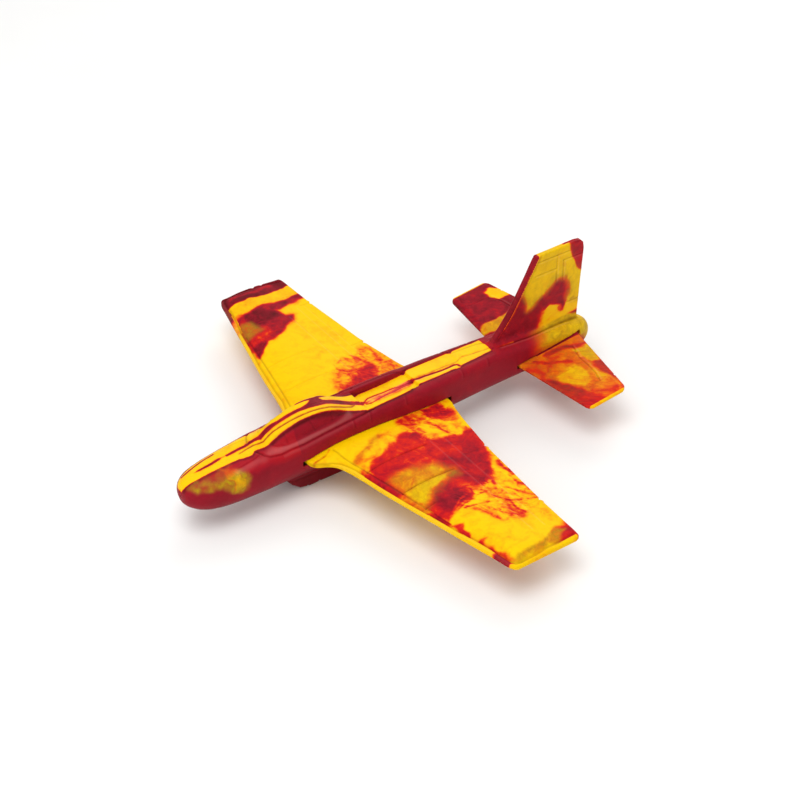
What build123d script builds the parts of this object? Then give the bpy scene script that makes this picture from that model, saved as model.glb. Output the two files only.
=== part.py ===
"""Two-colour foam hand-throw glider: a low-wing fighter-style airframe.

Frame: +X forward (nose), +Y to port, +Z up.  The glider stands on the flat face
under its belly scoop, at Z = 0, with the origin near the middle of that face.
The fuselage halves are bonded at Y = 0.  Millimetres.

Stations, outlines and heights are measured from the wing datum: the flat underside
of the wing, at the middle of its root chord.  DATUM_X and DATUM_Z place it.
"""
import os
from math import cos, pi, radians, sin

from build123d import *

os.makedirs("parts", exist_ok=True)

DATUM_X = -16.0
DATUM_Z = 22.6

# ---------------------------------------------------------------- wing
WING_RIM = 3.0  # height of the plain edge all round the wing
MIN_RISE = 0.05  # least height of the crown above the rim
LEDGE_MAX = 2.6  # flat behind the leading edge, limited to a share of the chord
LEDGE_SHARE = 0.05
TRAILING_BEVEL = 0.5
# rounding of the leading edge: distance behind it, share of the rim height
LEADING_ROUND = [(0.0, 0.62), (0.8, 0.93)]
# crown: share of the chord behind the leading edge, share of the rise above the rim
CROWN_PROFILE = [
    (0.10, 0.46), (0.20, 0.84), (0.33, 1.0), (0.52, 0.86), (0.72, 0.42), (0.90, 0.06),
]
# y, leading edge x, trailing edge x, height of the crown above the flat underside
WING_STATIONS = [
    (0.0, 52.0, -46.4, 6.5),
    (17.0, 51.4, -46.0, 6.5),
    (20.3, 49.7, -45.2, 6.5),
    (23.6, 43.9, -44.2, 6.4),
    (27.0, 40.4, -43.5, 6.4),
    (32.2, 38.0, -42.4, 6.3),
    (45.2, 34.7, -40.4, 6.2),
    (61.5, 31.6, -38.0, 6.1),
    (84.0, 26.4, -36.3, 6.0),
    (116.3, 18.9, -34.0, 5.7),
    (138.0, 13.7, -33.2, 5.2),
    (146.0, 11.9, -32.9, 3.9),
    (149.0, 10.4, -32.2, 3.2),
    (150.0, 8.4, -30.2, 3.0),
]

# ----------------------------------------------------------- tailplane
TAIL_HALF_SPAN = 67.9
TAIL_THICK = 2.6
TAIL_TILT = radians(6.4)  # trailing edge up
TAIL_ROOT_LE, TAIL_ROOT_TE = -99.2, -147.6
TAIL_TIP_LE, TAIL_TIP_TE = -107.5, -134.9
TAIL_PIVOT_Z = 0.5  # height of the underside at the leading edge of the tip
TAIL_CORNER_RADIUS = 4.0
TAIL_CHAMFER = 0.6

# ------------------------------------------------------------- fuselage
SECTION_STEPS = 6  # segments in each rounded quarter section
# x, half width, top z, bottom z, z of the widest line, squareness top, bottom
BODY_STATIONS = [
    (123.4, 1.6, 4.6, 0.2, 2.4, 2.0, 2.0),
    (122.2, 5.4, 8.0, -3.4, 2.3, 2.0, 2.0),
    (119.4, 8.8, 10.3, -6.2, 2.1, 2.1, 2.1),
    (114.6, 11.8, 11.8, -8.8, 1.7, 2.3, 2.2),
    (108.0, 13.6, 12.6, -10.6, 1.4, 2.5, 2.3),
    (99.0, 14.8, 13.3, -11.8, 1.3, 2.8, 2.3),
    (86.0, 15.4, 14.0, -12.4, 1.6, 3.4, 2.3),
    (70.0, 15.6, 15.0, -12.6, 2.2, 4.6, 2.3),
    (40.0, 15.6, 16.0, -12.2, 2.8, 5.6, 2.4),
    (10.0, 15.4, 16.4, -11.2, 3.5, 6.0, 2.5),
    (-35.0, 14.6, 16.3, -10.2, 4.0, 6.0, 2.6),
    (-60.0, 13.3, 16.3, -9.6, 4.0, 6.0, 2.7),
    (-87.0, 11.9, 16.1, -9.0, 3.8, 5.4, 2.8),
    (-115.0, 11.2, 14.6, -8.6, 3.2, 4.2, 2.9),
    (-141.0, 10.6, 12.6, -8.2, 2.6, 3.4, 2.9),
    (-150.0, 9.6, 11.4, -7.6, 2.4, 2.8, 2.6),
    (-155.4, 7.4, 9.4, -6.0, 2.2, 2.4, 2.3),
    (-158.2, 4.6, 6.8, -3.2, 2.0, 2.1, 2.1),
    (-159.2, 1.6, 3.8, 0.0, 1.9, 2.0, 2.0),
]

CANOPY_BASE = 9.0
CANOPY_SQUARENESS = 4.0
# x, half width, top z
CANOPY_STATIONS = [
    (74.0, 5.0, 13.2),
    (71.0, 8.4, 15.8),
    (67.0, 9.8, 19.0),
    (60.0, 10.6, 22.0),
    (50.0, 11.2, 24.8),
    (38.0, 11.4, 26.4),
    (30.0, 11.2, 25.2),
    (20.0, 10.8, 21.4),
    (10.0, 10.4, 18.0),
    (2.0, 10.0, 15.4),
]

FIN_THICK = 3.6
FIN_TIP_FRONT = (-117.7, 66.4)
FIN_TIP_REAR = (-153.6, 67.0)
FIN_FRONT_RADIUS = 1.5
FIN_REAR_RADIUS = 7.0
# x, z
FIN_OUTLINE = [
    (-82.0, 9.0),
    (-85.6, 15.9),
    (-91.6, 23.0),
    (-98.4, 32.0),
    (-104.4, 42.2),
    FIN_TIP_FRONT,
    FIN_TIP_REAR,
    (-151.2, 8.0),
]

# belly scoop, with the flat face that the glider stands on
SCOOP_HALF_WIDTH = 9.0
SCOOP_BOTTOM = -DATUM_Z
# x, z
SCOOP_OUTLINE = [
    (62.0, -8.0),
    (60.0, -13.2),
    (51.6, -21.4),
    (48.4, SCOOP_BOTTOM),
    (-16.0, SCOOP_BOTTOM),
    (-36.0, -7.0),
]

# slots for the wing and tailplane
SLOT_CLEAR = 0.3  # above and below
SLOT_REACH = 40.0  # cut from the bond plane out past the side of the body
WING_SLOT_GAP = 2.2  # ahead of and behind the root
TAIL_SLOT_GAP = 0.8

# steel slug held in a pocket on the bond plane
SLUG_RADIUS = 4.0
SLUG_LENGTH = 17.0
SLUG_REAR_X = 93.0
SLUG_Z = 1.5
SLUG_CLEAR = 0.05  # radial
SLUG_CHAMFER = 0.5


def cross_plane(x):
    """Plane across the glider at datum station x; sketch axes are Y and Z."""
    return Plane(origin=(DATUM_X + x, 0, DATUM_Z), x_dir=(0, 1, 0), z_dir=(1, 0, 0))


def side_plane(y):
    """Plane along the glider at distance y to port; sketch axes are X and Z."""
    return Plane(origin=(DATUM_X, y, DATUM_Z), x_dir=(1, 0, 0), z_dir=(0, -1, 0))


tail_plane = Plane(
    origin=(DATUM_X + TAIL_TIP_LE, 0, DATUM_Z + TAIL_PIVOT_Z),
    x_dir=(cos(TAIL_TILT), 0, -sin(TAIL_TILT)),
    z_dir=(sin(TAIL_TILT), 0, cos(TAIL_TILT)),
)


def tail_x(x):
    """Distance along the tilted tailplane of a point at fuselage station x."""
    return (x - TAIL_TIP_LE) / cos(TAIL_TILT)


def quarter_section(half_width, end_z, wide_z, squareness):
    """Superellipse points from the bond plane at end_z out to the widest line."""
    angles = [pi / 2 * i / SECTION_STEPS for i in range(SECTION_STEPS + 1)]
    power = 2 / squareness
    return [
        (half_width * sin(angle) ** power, wide_z + (end_z - wide_z) * cos(angle) ** power)
        for angle in angles
    ]


def crown_line(front, rear, crown):
    """Top of the wing at one station, from the ledge back, as (x, z) points."""
    chord = front - rear
    rise = max(crown - WING_RIM, MIN_RISE)
    return [(front - min(LEDGE_MAX, LEDGE_SHARE * chord), WING_RIM)] + [
        (front - back * chord, WING_RIM + up * rise) for back, up in CROWN_PROFILE
    ]


def wing_section(front, rear, crown):
    """Closed outline of the wing at one station, as (x, z) points."""
    return [
        (front, 0.0),
        *[(front - back, WING_RIM * up) for back, up in LEADING_ROUND],
        *crown_line(front, rear, crown),
        (rear + TRAILING_BEVEL, WING_RIM),
        (rear, WING_RIM - TRAILING_BEVEL),
        (rear, 0.0),
    ]


def wing_slot_section():
    """Section of the wing slot: the root section grown by its clearances."""
    _, front, rear, crown = WING_STATIONS[0]
    slot_front = front + WING_SLOT_GAP
    slot_rear = rear - WING_SLOT_GAP
    return [
        (slot_front, -SLOT_CLEAR),
        (slot_front, WING_RIM + SLOT_CLEAR),
        *[(x, z + SLOT_CLEAR) for x, z in crown_line(front, rear, crown)],
        (slot_rear, WING_RIM + SLOT_CLEAR),
        (slot_rear, -SLOT_CLEAR),
    ]


# ------------------------------------------------------- fuselage halves
with BuildPart() as fuselage_left_half:
    # body
    for x, half_width, top, bottom, wide_z, top_square, bottom_square in BODY_STATIONS:
        upper = quarter_section(half_width, top, wide_z, top_square)
        lower = quarter_section(half_width, bottom, wide_z, bottom_square)
        with BuildSketch(cross_plane(x)):
            with BuildLine():
                # the two quarters share their widest point
                Polyline(*upper, *lower[-2::-1], close=True)
            make_face()
    loft(ruled=True)
    # canopy
    for x, half_width, top in CANOPY_STATIONS:
        upper = quarter_section(half_width, top, CANOPY_BASE, CANOPY_SQUARENESS)
        with BuildSketch(cross_plane(x)):
            with BuildLine():
                Polyline(*upper, (0.0, CANOPY_BASE), close=True)
            make_face()
    loft(ruled=True)
    # belly scoop
    with BuildSketch(side_plane(0)):
        with BuildLine():
            Polyline(*SCOOP_OUTLINE, close=True)
        make_face()
    extrude(amount=-SCOOP_HALF_WIDTH)
    # fin
    with BuildSketch(side_plane(0)) as fin_outline:
        with BuildLine():
            Polyline(*FIN_OUTLINE, close=True)
        make_face()
        for corner, radius in (
            (FIN_TIP_FRONT, FIN_FRONT_RADIUS),
            (FIN_TIP_REAR, FIN_REAR_RADIUS),
        ):
            fillet(fin_outline.vertices().sort_by_distance((*corner, 0))[0], radius)
    extrude(amount=-FIN_THICK / 2)
    # wing slot
    with BuildSketch(side_plane(0)):
        with BuildLine():
            Polyline(*wing_slot_section(), close=True)
        make_face()
    extrude(amount=-SLOT_REACH, mode=Mode.SUBTRACT)
    # tailplane slot
    with BuildSketch(tail_plane.offset(-SLOT_CLEAR)):
        with Locations((tail_x((TAIL_ROOT_LE + TAIL_ROOT_TE) / 2), SLOT_REACH / 2)):
            root_chord = tail_x(TAIL_ROOT_LE) - tail_x(TAIL_ROOT_TE)
            Rectangle(root_chord + 2 * TAIL_SLOT_GAP, SLOT_REACH)
    extrude(amount=TAIL_THICK + 2 * SLOT_CLEAR, mode=Mode.SUBTRACT)
    # pocket for the slug
    with BuildSketch(cross_plane(SLUG_REAR_X)):
        with Locations((0, SLUG_Z)):
            Circle(SLUG_RADIUS + SLUG_CLEAR)
    extrude(amount=SLUG_LENGTH, mode=Mode.SUBTRACT)

with BuildPart() as fuselage_right_half:
    mirror(fuselage_left_half.part, about=Plane.XZ)

# ----------------------------------------------------------------- wing
# from the starboard tip to the port tip, with the root station once
starboard_stations = [(-y, *section) for y, *section in WING_STATIONS[:0:-1]]

with BuildPart() as wing:
    for y, front, rear, crown in starboard_stations + WING_STATIONS:
        with BuildSketch(side_plane(y)):
            with BuildLine():
                Polyline(*wing_section(front, rear, crown), close=True)
            make_face()
    loft(ruled=True)

# ------------------------------------------------------------ tailplane
with BuildPart() as tailplane:
    with BuildSketch(tail_plane) as tail_outline:
        with BuildLine():
            Polyline(
                (tail_x(TAIL_ROOT_LE), 0),
                (tail_x(TAIL_TIP_LE), TAIL_HALF_SPAN),
                (tail_x(TAIL_TIP_TE), TAIL_HALF_SPAN),
                (tail_x(TAIL_ROOT_TE), 0),
                (tail_x(TAIL_TIP_TE), -TAIL_HALF_SPAN),
                (tail_x(TAIL_TIP_LE), -TAIL_HALF_SPAN),
                close=True,
            )
        make_face()
        tip_corners = [v for v in tail_outline.vertices() if abs(v.Y) > TAIL_HALF_SPAN - 1]
        fillet(tip_corners, TAIL_CORNER_RADIUS)
    extrude(amount=TAIL_THICK)
    upper_face = tailplane.faces().sort_by(Axis((0, 0, 0), tail_plane.z_dir))[-1]
    chamfer(upper_face.edges(), TAIL_CHAMFER)

# ---------------------------------------------------------- nose weight
with BuildPart() as nose_weight:
    with BuildSketch(cross_plane(SLUG_REAR_X)):
        with Locations((0, SLUG_Z)):
            Circle(SLUG_RADIUS)
    extrude(amount=SLUG_LENGTH)
    chamfer(nose_weight.edges().filter_by(GeomType.CIRCLE), SLUG_CHAMFER)

for name, piece in {
    "fuselage_left_half": fuselage_left_half,
    "fuselage_right_half": fuselage_right_half,
    "wing": wing,
    "tailplane": tailplane,
    "nose_weight": nose_weight,
}.items():
    piece.part.label = name
    export_step(piece.part, f"parts/{name}.step")
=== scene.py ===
"""Looks for a two-colour foam hand-throw glider.

It is a fuselage of two halves bonded on y = 0, a wing and a tilted tailplane pushed
through slots in it, and a steel slug in the nose.  Nose to +X, port to +Y, +Z up.
Tables are in millimetres from the wing datum, which lies on the wing's flat underside
ROOT_LEADING behind its foremost point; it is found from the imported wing's box.
"""

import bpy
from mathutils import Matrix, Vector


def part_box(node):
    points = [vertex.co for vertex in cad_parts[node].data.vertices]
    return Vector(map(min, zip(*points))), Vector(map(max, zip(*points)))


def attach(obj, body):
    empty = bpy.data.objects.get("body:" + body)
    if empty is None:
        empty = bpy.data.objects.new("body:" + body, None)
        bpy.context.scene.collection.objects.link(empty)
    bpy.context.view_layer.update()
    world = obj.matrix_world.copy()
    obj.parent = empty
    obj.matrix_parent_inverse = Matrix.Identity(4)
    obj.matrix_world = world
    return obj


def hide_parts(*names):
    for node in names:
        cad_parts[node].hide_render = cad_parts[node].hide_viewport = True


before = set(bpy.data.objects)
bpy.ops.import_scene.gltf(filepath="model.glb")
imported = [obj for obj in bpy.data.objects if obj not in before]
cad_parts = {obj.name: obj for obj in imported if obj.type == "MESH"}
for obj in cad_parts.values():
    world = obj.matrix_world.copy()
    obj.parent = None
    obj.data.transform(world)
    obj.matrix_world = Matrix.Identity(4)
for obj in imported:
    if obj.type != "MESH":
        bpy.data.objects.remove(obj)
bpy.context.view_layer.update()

import math

import bmesh
import bpy
import numpy as np
from mathutils import Matrix, Vector

ROOT_LEADING = 52.0
wing_lo, wing_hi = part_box("wing")
# the datum in the frame, mm
DATUM = np.array([wing_hi.x * 1000 - ROOT_LEADING, 0, wing_lo.z * 1000])


# ------------------------------------------------------------------ maths
def path(points):
    """Array of points from text such as "x z, x z"; an array passes through."""
    if isinstance(points, str):
        return np.array([row.split() for row in points.split(",")], float)
    return np.asarray(points, float)


def pchip(xs, ys):
    """Monotone cubic through the points, held level beyond the ends."""
    order = np.argsort(xs)
    xs, ys = xs[order], ys[order]
    gap = np.diff(xs)
    chord = np.diff(ys) / gap
    slope = np.zeros_like(ys)
    before, after = 2 * gap[1:] + gap[:-1], gap[1:] + 2 * gap[:-1]
    with np.errstate(all="ignore"):
        mean = (before + after) / (before / chord[:-1] + after / chord[1:])
    slope[1:-1] = np.where(chord[1:] * chord[:-1] > 0, mean, 0.0)
    slope[0], slope[-1] = chord[0], chord[-1]

    def curve(x):
        x = np.clip(x, xs[0], xs[-1])
        i = np.clip(np.searchsorted(xs, x) - 1, 0, len(xs) - 2)
        t = (x - xs[i]) / gap[i]
        t2, t3 = t * t, t * t * t
        return (
            (2 * t3 - 3 * t2 + 1) * ys[i]
            + (t3 - 2 * t2 + t) * gap[i] * slope[i]
            + (-2 * t3 + 3 * t2) * ys[i + 1]
            + (t3 - t2) * gap[i] * slope[i + 1]
        )

    return curve


def sstep(start, end, value):
    """Smooth step from 0 at start to 1 at end; start may be the larger."""
    t = np.clip((value - start) / (end - start), 0, 1)
    return t * t * (3 - 2 * t)


def lerp(x, points):
    """Piecewise linear table lookup; the points may run either way."""
    points = path(points)
    order = np.argsort(points[:, 0])
    return np.interp(x, points[order, 0], points[order, 1])


def mix(base, value, weight):
    return base * (1 - weight) + value * weight


def smooth_min(a, b, radius):
    h = np.clip(0.5 + 0.5 * (b - a) / radius, 0, 1)
    return b * (1 - h) + a * h - radius * h * (1 - h)


def smooth_max(a, b, radius):
    return -smooth_min(-a, -b, radius)


def corner_distance(a, b):
    """Distance to the region where both a and b are negative."""
    outside = np.sqrt(np.maximum(a, 0) ** 2 + np.maximum(b, 0) ** 2)
    return np.minimum(np.maximum(a, b), 0) + outside


def outline_distance(x, z, outline):
    """Signed distance to a closed polygon, negative inside."""
    outline = path(outline)
    square = np.full(np.shape(x), 1e9)
    inside = np.zeros(np.shape(x), bool)
    for (ax, az), (bx, bz) in zip(outline, np.roll(outline, -1, axis=0)):
        ex, ez = bx - ax, bz - az
        wx, wz = x - ax, z - az
        t = np.clip((wx * ex + wz * ez) / (ex * ex + ez * ez + 1e-12), 0, 1)
        square = np.minimum(square, (wx - ex * t) ** 2 + (wz - ez * t) ** 2)
        crossing = (bx - ax) * (z - az) / (bz - az + 1e-30) + ax
        inside ^= ((az > z) != (bz > z)) & (x < crossing)
    distance = np.sqrt(square)
    return np.where(inside, -distance, distance)


def line_distance(where, line):
    """Distance from points (n, k) to an open polyline."""
    line = path(line)
    best = np.full(len(where), 1e18)
    for start, end in zip(line[:-1], line[1:]):
        edge = end - start
        t = np.clip(((where - start) @ edge) / (edge @ edge + 1e-12), 0, 1)
        best = np.minimum(best, ((where - start - t[:, None] * edge) ** 2).sum(1))
    return np.sqrt(best)


def groove(distance, width):
    """1 on the line, falling to 0 at about width from it."""
    return np.exp(-((distance / (0.55 * width)) ** 2))


def along(where, line, width):
    return groove(line_distance(where, line), width)


def within(where, outline, outer, inner):
    """Soft mask: 0 at outer outside a polygon, 1 at inner inside it."""
    return sstep(outer, -inner, outline_distance(where[:, 0], where[:, 1], outline))


# seeded lattice value noise, for low-frequency warps of the marbling
LATTICE = np.random.default_rng(20417).random((64, 64, 64))


def vnoise(points, scale):
    """Value noise from -1 to 1."""
    cell = points / scale + 1000.0
    corner = np.floor(cell).astype(int)
    part = cell - corner
    part = part * part * (3 - 2 * part)
    total = 0
    for step in np.ndindex(2, 2, 2):
        weight = np.where(step, part, 1 - part).prod(1)
        total = total + weight * LATTICE[tuple(((corner + step) % 64).T)]
    return total * 2 - 1


def fbm(points, scale):
    """Four octaves of value noise."""
    total, weight, weights = 0, 1.0, 0.0
    for k in range(4):
        total = total + weight * vnoise(points + 17.3 * k, scale / 2**k)
        weights += weight
        weight *= 0.55
    return total / weights


def lay(tone, where, marks):
    """Lays marks over a tone in order.

    A mark is kind, tone, edge softness or line width, strength, points.
    """
    for kind, value, width, strength, points in marks:
        if kind == "fill":
            weight = within(where, points, width, width)
        else:
            weight = along(where, points, width)
        tone = mix(tone, value, strength * weight)
    return tone


def lift(base, where, areas):
    """Raises base to at least each area's value: value, outer and inner edge, outline."""
    for value, outer, inner, outline in areas:
        base = np.maximum(base, value * within(where, outline, outer, inner))
    return base


# --------------------------------------------------------------- mesh out
def make_mesh(name, verts, faces, attributes):
    """Object from vertices in datum millimetres, placed in the frame in metres."""
    mesh = bpy.data.meshes.new(name)
    faces = [list(map(int, face)) for face in faces]
    mesh.from_pydata(((verts + DATUM) / 1000.0).tolist(), [], faces)
    mesh.validate()
    mesh.update()
    for key, values in attributes.items():
        attribute = mesh.attributes.new(key, "FLOAT", "POINT")
        attribute.data.foreach_set("value", np.asarray(values, np.float32))
    bm = bmesh.new()
    bm.from_mesh(mesh)
    bmesh.ops.dissolve_degenerate(bm, dist=2e-6, edges=bm.edges)
    bm.to_mesh(mesh)
    bm.free()
    mesh.shade_smooth()
    mesh.set_sharp_from_angle(angle=math.radians(48.0))
    made = bpy.data.objects.new(name, mesh)
    bpy.context.scene.collection.objects.link(made)
    return made


# -------------------------------------------------------- fuselage solid
NOSE_X, TAIL_X = 123.4, -159.2
# x, half width, top z, bottom z, z of greatest width, upper and lower roundness exponent
BODY = np.array(
    [
        (NOSE_X, 0.0, 2.4, 2.4, 2.4, 2.0, 2.0),
        (122.2, 5.6, 8.0, -3.4, 2.3, 2.0, 2.0),
        (119.4, 9.0, 10.3, -6.3, 2.1, 2.1, 2.1),
        (114.6, 11.9, 11.8, -8.9, 1.7, 2.3, 2.2),
        (108.0, 13.7, 12.6, -10.7, 1.4, 2.5, 2.3),
        (99.0, 14.9, 13.3, -11.9, 1.3, 2.8, 2.3),
        (86.0, 15.5, 14.0, -12.5, 1.6, 3.4, 2.3),
        (70.0, 15.7, 15.0, -12.7, 2.2, 4.6, 2.3),
        (40.0, 15.6, 16.0, -12.3, 2.8, 5.6, 2.4),
        (10.0, 15.4, 16.4, -11.2, 3.5, 6.0, 2.5),
        (-35.0, 14.6, 16.3, -10.2, 4.0, 6.0, 2.6),
        (-60.0, 13.3, 16.3, -9.6, 4.0, 6.0, 2.7),
        (-87.0, 11.9, 16.1, -9.0, 3.8, 5.4, 2.8),
        (-115.0, 11.2, 14.6, -8.6, 3.2, 4.2, 2.9),
        (-141.0, 10.6, 12.6, -8.2, 2.6, 3.4, 2.9),
        (-150.0, 9.6, 11.4, -7.6, 2.4, 2.8, 2.6),
        (-155.4, 7.4, 9.4, -6.0, 2.2, 2.4, 2.3),
        (-158.2, 4.6, 6.8, -3.2, 2.0, 2.1, 2.1),
        (TAIL_X, 0.0, 1.9, 1.9, 1.9, 2.0, 2.0),
    ]
)
CANOPY_BASE = 9.0
# x, half width, top z
CANOPY = path(
    """90 3 9.5, 78 4.5 11.5, 74 6 13.6, 71 8.4 16.4, 67 9.8 19.4, 60 10.7 22.4,
    50 11.3 25, 38 11.4 26.5, 31 11.2 25.6, 26 11 23.6, 20 10.6 20.6, 11 9.6 16.2,
    6 8.8 13.8, 1 8 12.2, -8 7 10.6, -20 6 9.6"""
)
# side outlines of the fin and the belly scoop: x, z
FIN = path(
    """-80 6, -84 14.4, -88.2 19.6, -92.6 24.6, -98.4 32.2, -104.4 42.4, -117.4 66.4,
    -123 66.6, -146.6 67, -150.4 66.4, -152.6 64.4, -153.3 60.6, -151 12, -150 4"""
)
FIN_LEADING = FIN[2:7]
FIN_THICKNESS = 3.6
SCOOP_FLOOR = -22.6
SCOOP = np.array(
    [
        (64.0, -6.0), (60.6, -13.0), (57.0, -17.6), (52.4, -21.4),
        (46.5, SCOOP_FLOOR), (-16.0, SCOOP_FLOOR), (-24.0, -19.4), (-36.0, -7.0),
    ]
)
SCOOP_HALF = 9.0
CHANNEL_HALF = 8.4
# floor of the channel along the spine: x, z; z = 30 is clear above the body
CHANNEL = path(
    """124 30, 12 30, 8 17, 5.5 13.4, 2 12.7, -10 12.5, -22 13, -29.6 13.7, -30.6 15.5,
    -40 15.4, -61 15.4, -62 15.7, -84 15.9, -90 30, -160 30"""
)


def stretch(x):
    """Spreads out x near both ends, so the blunt ends interpolate well."""
    x = np.clip(x, TAIL_X, NOSE_X)
    return np.sqrt(NOSE_X - x) - np.sqrt(x - TAIL_X)


BODY_CURVES = [pchip(stretch(BODY[:, 0]), column) for column in BODY[:, 1:].T]
CANOPY_CURVES = [pchip(CANOPY[:, 0], column) for column in CANOPY[:, 1:].T]


def superellipse(y, z, half_width, half_height, power):
    """Distance, to first order, to a superellipse about the origin."""
    across = np.maximum(y / half_width, 1e-6)
    up = np.maximum(np.abs(z) / half_height, 1e-6)
    total = across**power + up**power
    level = total ** (1 / power)
    k = total ** (1 / power - 1)
    slope_y = k * across ** (power - 1) / half_width
    slope_z = k * up ** (power - 1) / half_height
    return (level - 1) / np.maximum(np.sqrt(slope_y * slope_y + slope_z * slope_z), 1e-6)


def body_field(x, y, z):
    station = stretch(x)
    width, top, bottom, middle, upper, lower = [curve(station) for curve in BODY_CURVES]
    width = np.maximum(width, 0.05)
    rise, drop = np.maximum(top - middle, 0.05), np.maximum(middle - bottom, 0.05)
    z = z - middle
    above = z > 0
    height, power = np.where(above, rise, drop), np.where(above, upper, lower)
    distance = superellipse(np.abs(y), z, width, height, power)
    return distance + np.maximum(x - NOSE_X, 0) + np.maximum(TAIL_X - x, 0)


def canopy_field(x, y, z):
    width, top = CANOPY_CURVES[0](x), CANOPY_CURVES[1](x)
    height = np.maximum(top - CANOPY_BASE, 0.3)
    distance = superellipse(np.abs(y), z - CANOPY_BASE, width, height, 4.0)
    distance = np.where(z < CANOPY_BASE, np.maximum(distance, CANOPY_BASE - z), distance)
    return distance + np.maximum(x - 88, 0) + np.maximum(-18 - x, 0)


def slab_field(x, y, z, outline, half, radius):
    """Outline spread to half either side of y = 0, with rounded edges."""
    side = outline_distance(x, z, outline)
    return corner_distance(side + radius, np.abs(y) - half + radius) - radius


def solid_field(x, y, z):
    """The fuselage before slots and pocket, negative inside."""
    channel = corner_distance(np.abs(y) - CHANNEL_HALF, lerp(x, CHANNEL) - z)
    field = smooth_max(body_field(x, y, z), -channel, 0.8)
    canopy_blend = 1.0 + 2.0 * np.clip((x - 8) / 15, 0, 1)
    field = smooth_min(field, canopy_field(x, y, z), canopy_blend)
    field = smooth_min(field, slab_field(x, y, z, FIN, FIN_THICKNESS / 2, 0.9), 3.4)
    return smooth_min(field, slab_field(x, y, z, SCOOP, SCOOP_HALF, 2.4), 1.6)


# ------------------------------------------- wing and tail form, and slots
RIM = 3.0  # thickness of the wing's edge
SLOT_GAP = 0.3
WING_HALF = 150.0
CROWN_LIMIT = 6.5
# span from the middle, leading x, trailing x, crown z
WING = np.array(
    [
        (0.0, ROOT_LEADING, -46.4, CROWN_LIMIT),
        (17.0, 51.4, -46.0, 6.5),
        (20.3, 49.7, -45.2, 6.5),
        (23.6, 43.9, -44.2, 6.4),
        (27.0, 40.4, -43.5, 6.4),
        (32.2, 38.0, -42.4, 6.3),
        (45.2, 34.7, -40.4, 6.2),
        (61.5, 31.6, -38.0, 6.1),
        (84.0, 26.4, -36.3, 6.0),
        (116.3, 18.9, -34.0, 5.7),
        (138.0, 13.7, -33.2, 5.2),
        (146.0, 11.9, -32.9, 3.9),
        (149.0, 10.4, -32.2, 3.2),
        (WING_HALF, 8.4, -30.2, 3.0),
    ]
)
wing_leading, wing_trailing, wing_crown = [pchip(WING[:, 0], col) for col in WING[:, 1:].T]
# part of the chord from the leading edge, part of the rise above the rim
PROFILE = path("0 0, 0.03 0.1, 0.1 0.46, 0.2 0.84, 0.33 1, 0.52 0.86, 0.72 0.42, 0.9 0.06, 1 0")
wing_profile = pchip(*PROFILE.T)

TAIL_TILT = math.radians(6.4)
TAIL_PIVOT = (-107.5, 0.5)  # x, z on the tailplane's underside
TILT_COS, TILT_SIN = math.cos(TAIL_TILT), math.sin(TAIL_TILT)
TAIL_HALF, TAIL_CORNER, TAIL_THICKNESS = 67.9, 4.0, 2.6
TAIL_LEADING, TAIL_TRAILING = (-99.2, -107.5), (-147.6, -134.9)  # x at root, x at tip


def wing_slot():
    leading, trailing, crown = WING[0][1:]
    top = [
        (leading - part * (leading - trailing), RIM + rise * (crown - RIM) + SLOT_GAP)
        for part, rise in PROFILE[2:-1]
    ]
    low, high = -SLOT_GAP, RIM + SLOT_GAP
    front = [(leading + 2.2, low), (leading + 2.2, high), (leading - 2.6, high)]
    return np.array(front + top + [(trailing - 2.2, high), (trailing - 2.2, low)])


def tail_to_datum(chord, normal):
    """Tilted tailplane place, from its pivot, to datum x, z."""
    return (
        TAIL_PIVOT[0] + chord * TILT_COS + normal * TILT_SIN,
        TAIL_PIVOT[1] - chord * TILT_SIN + normal * TILT_COS,
    )


def tail_chord(x):
    return (x - TAIL_PIVOT[0]) / TILT_COS


def tail_slot():
    front, rear = tail_chord(TAIL_LEADING[0]) + SLOT_GAP, tail_chord(TAIL_TRAILING[0]) - SLOT_GAP
    low, high = -SLOT_GAP, TAIL_THICKNESS + SLOT_GAP
    corners = (front, low), (front, high), (rear, high), (rear, low)
    return np.array([tail_to_datum(*corner) for corner in corners])


WING_SLOT, TAIL_SLOT = wing_slot(), tail_slot()


def fuselage_field(x, y, z):
    field = solid_field(x, y, z)
    field = smooth_max(field, -outline_distance(x, z, WING_SLOT), 0.45)
    field = smooth_max(field, -outline_distance(x, z, TAIL_SLOT), 0.4)
    # round pocket for the slug, open on the bond plane
    radial = np.sqrt(y * y + (z - 1.5) ** 2) - 4.05
    pocket = np.maximum(radial, np.maximum(93.0 - x, x - 110.0))
    return np.maximum(field, -pocket)


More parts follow.
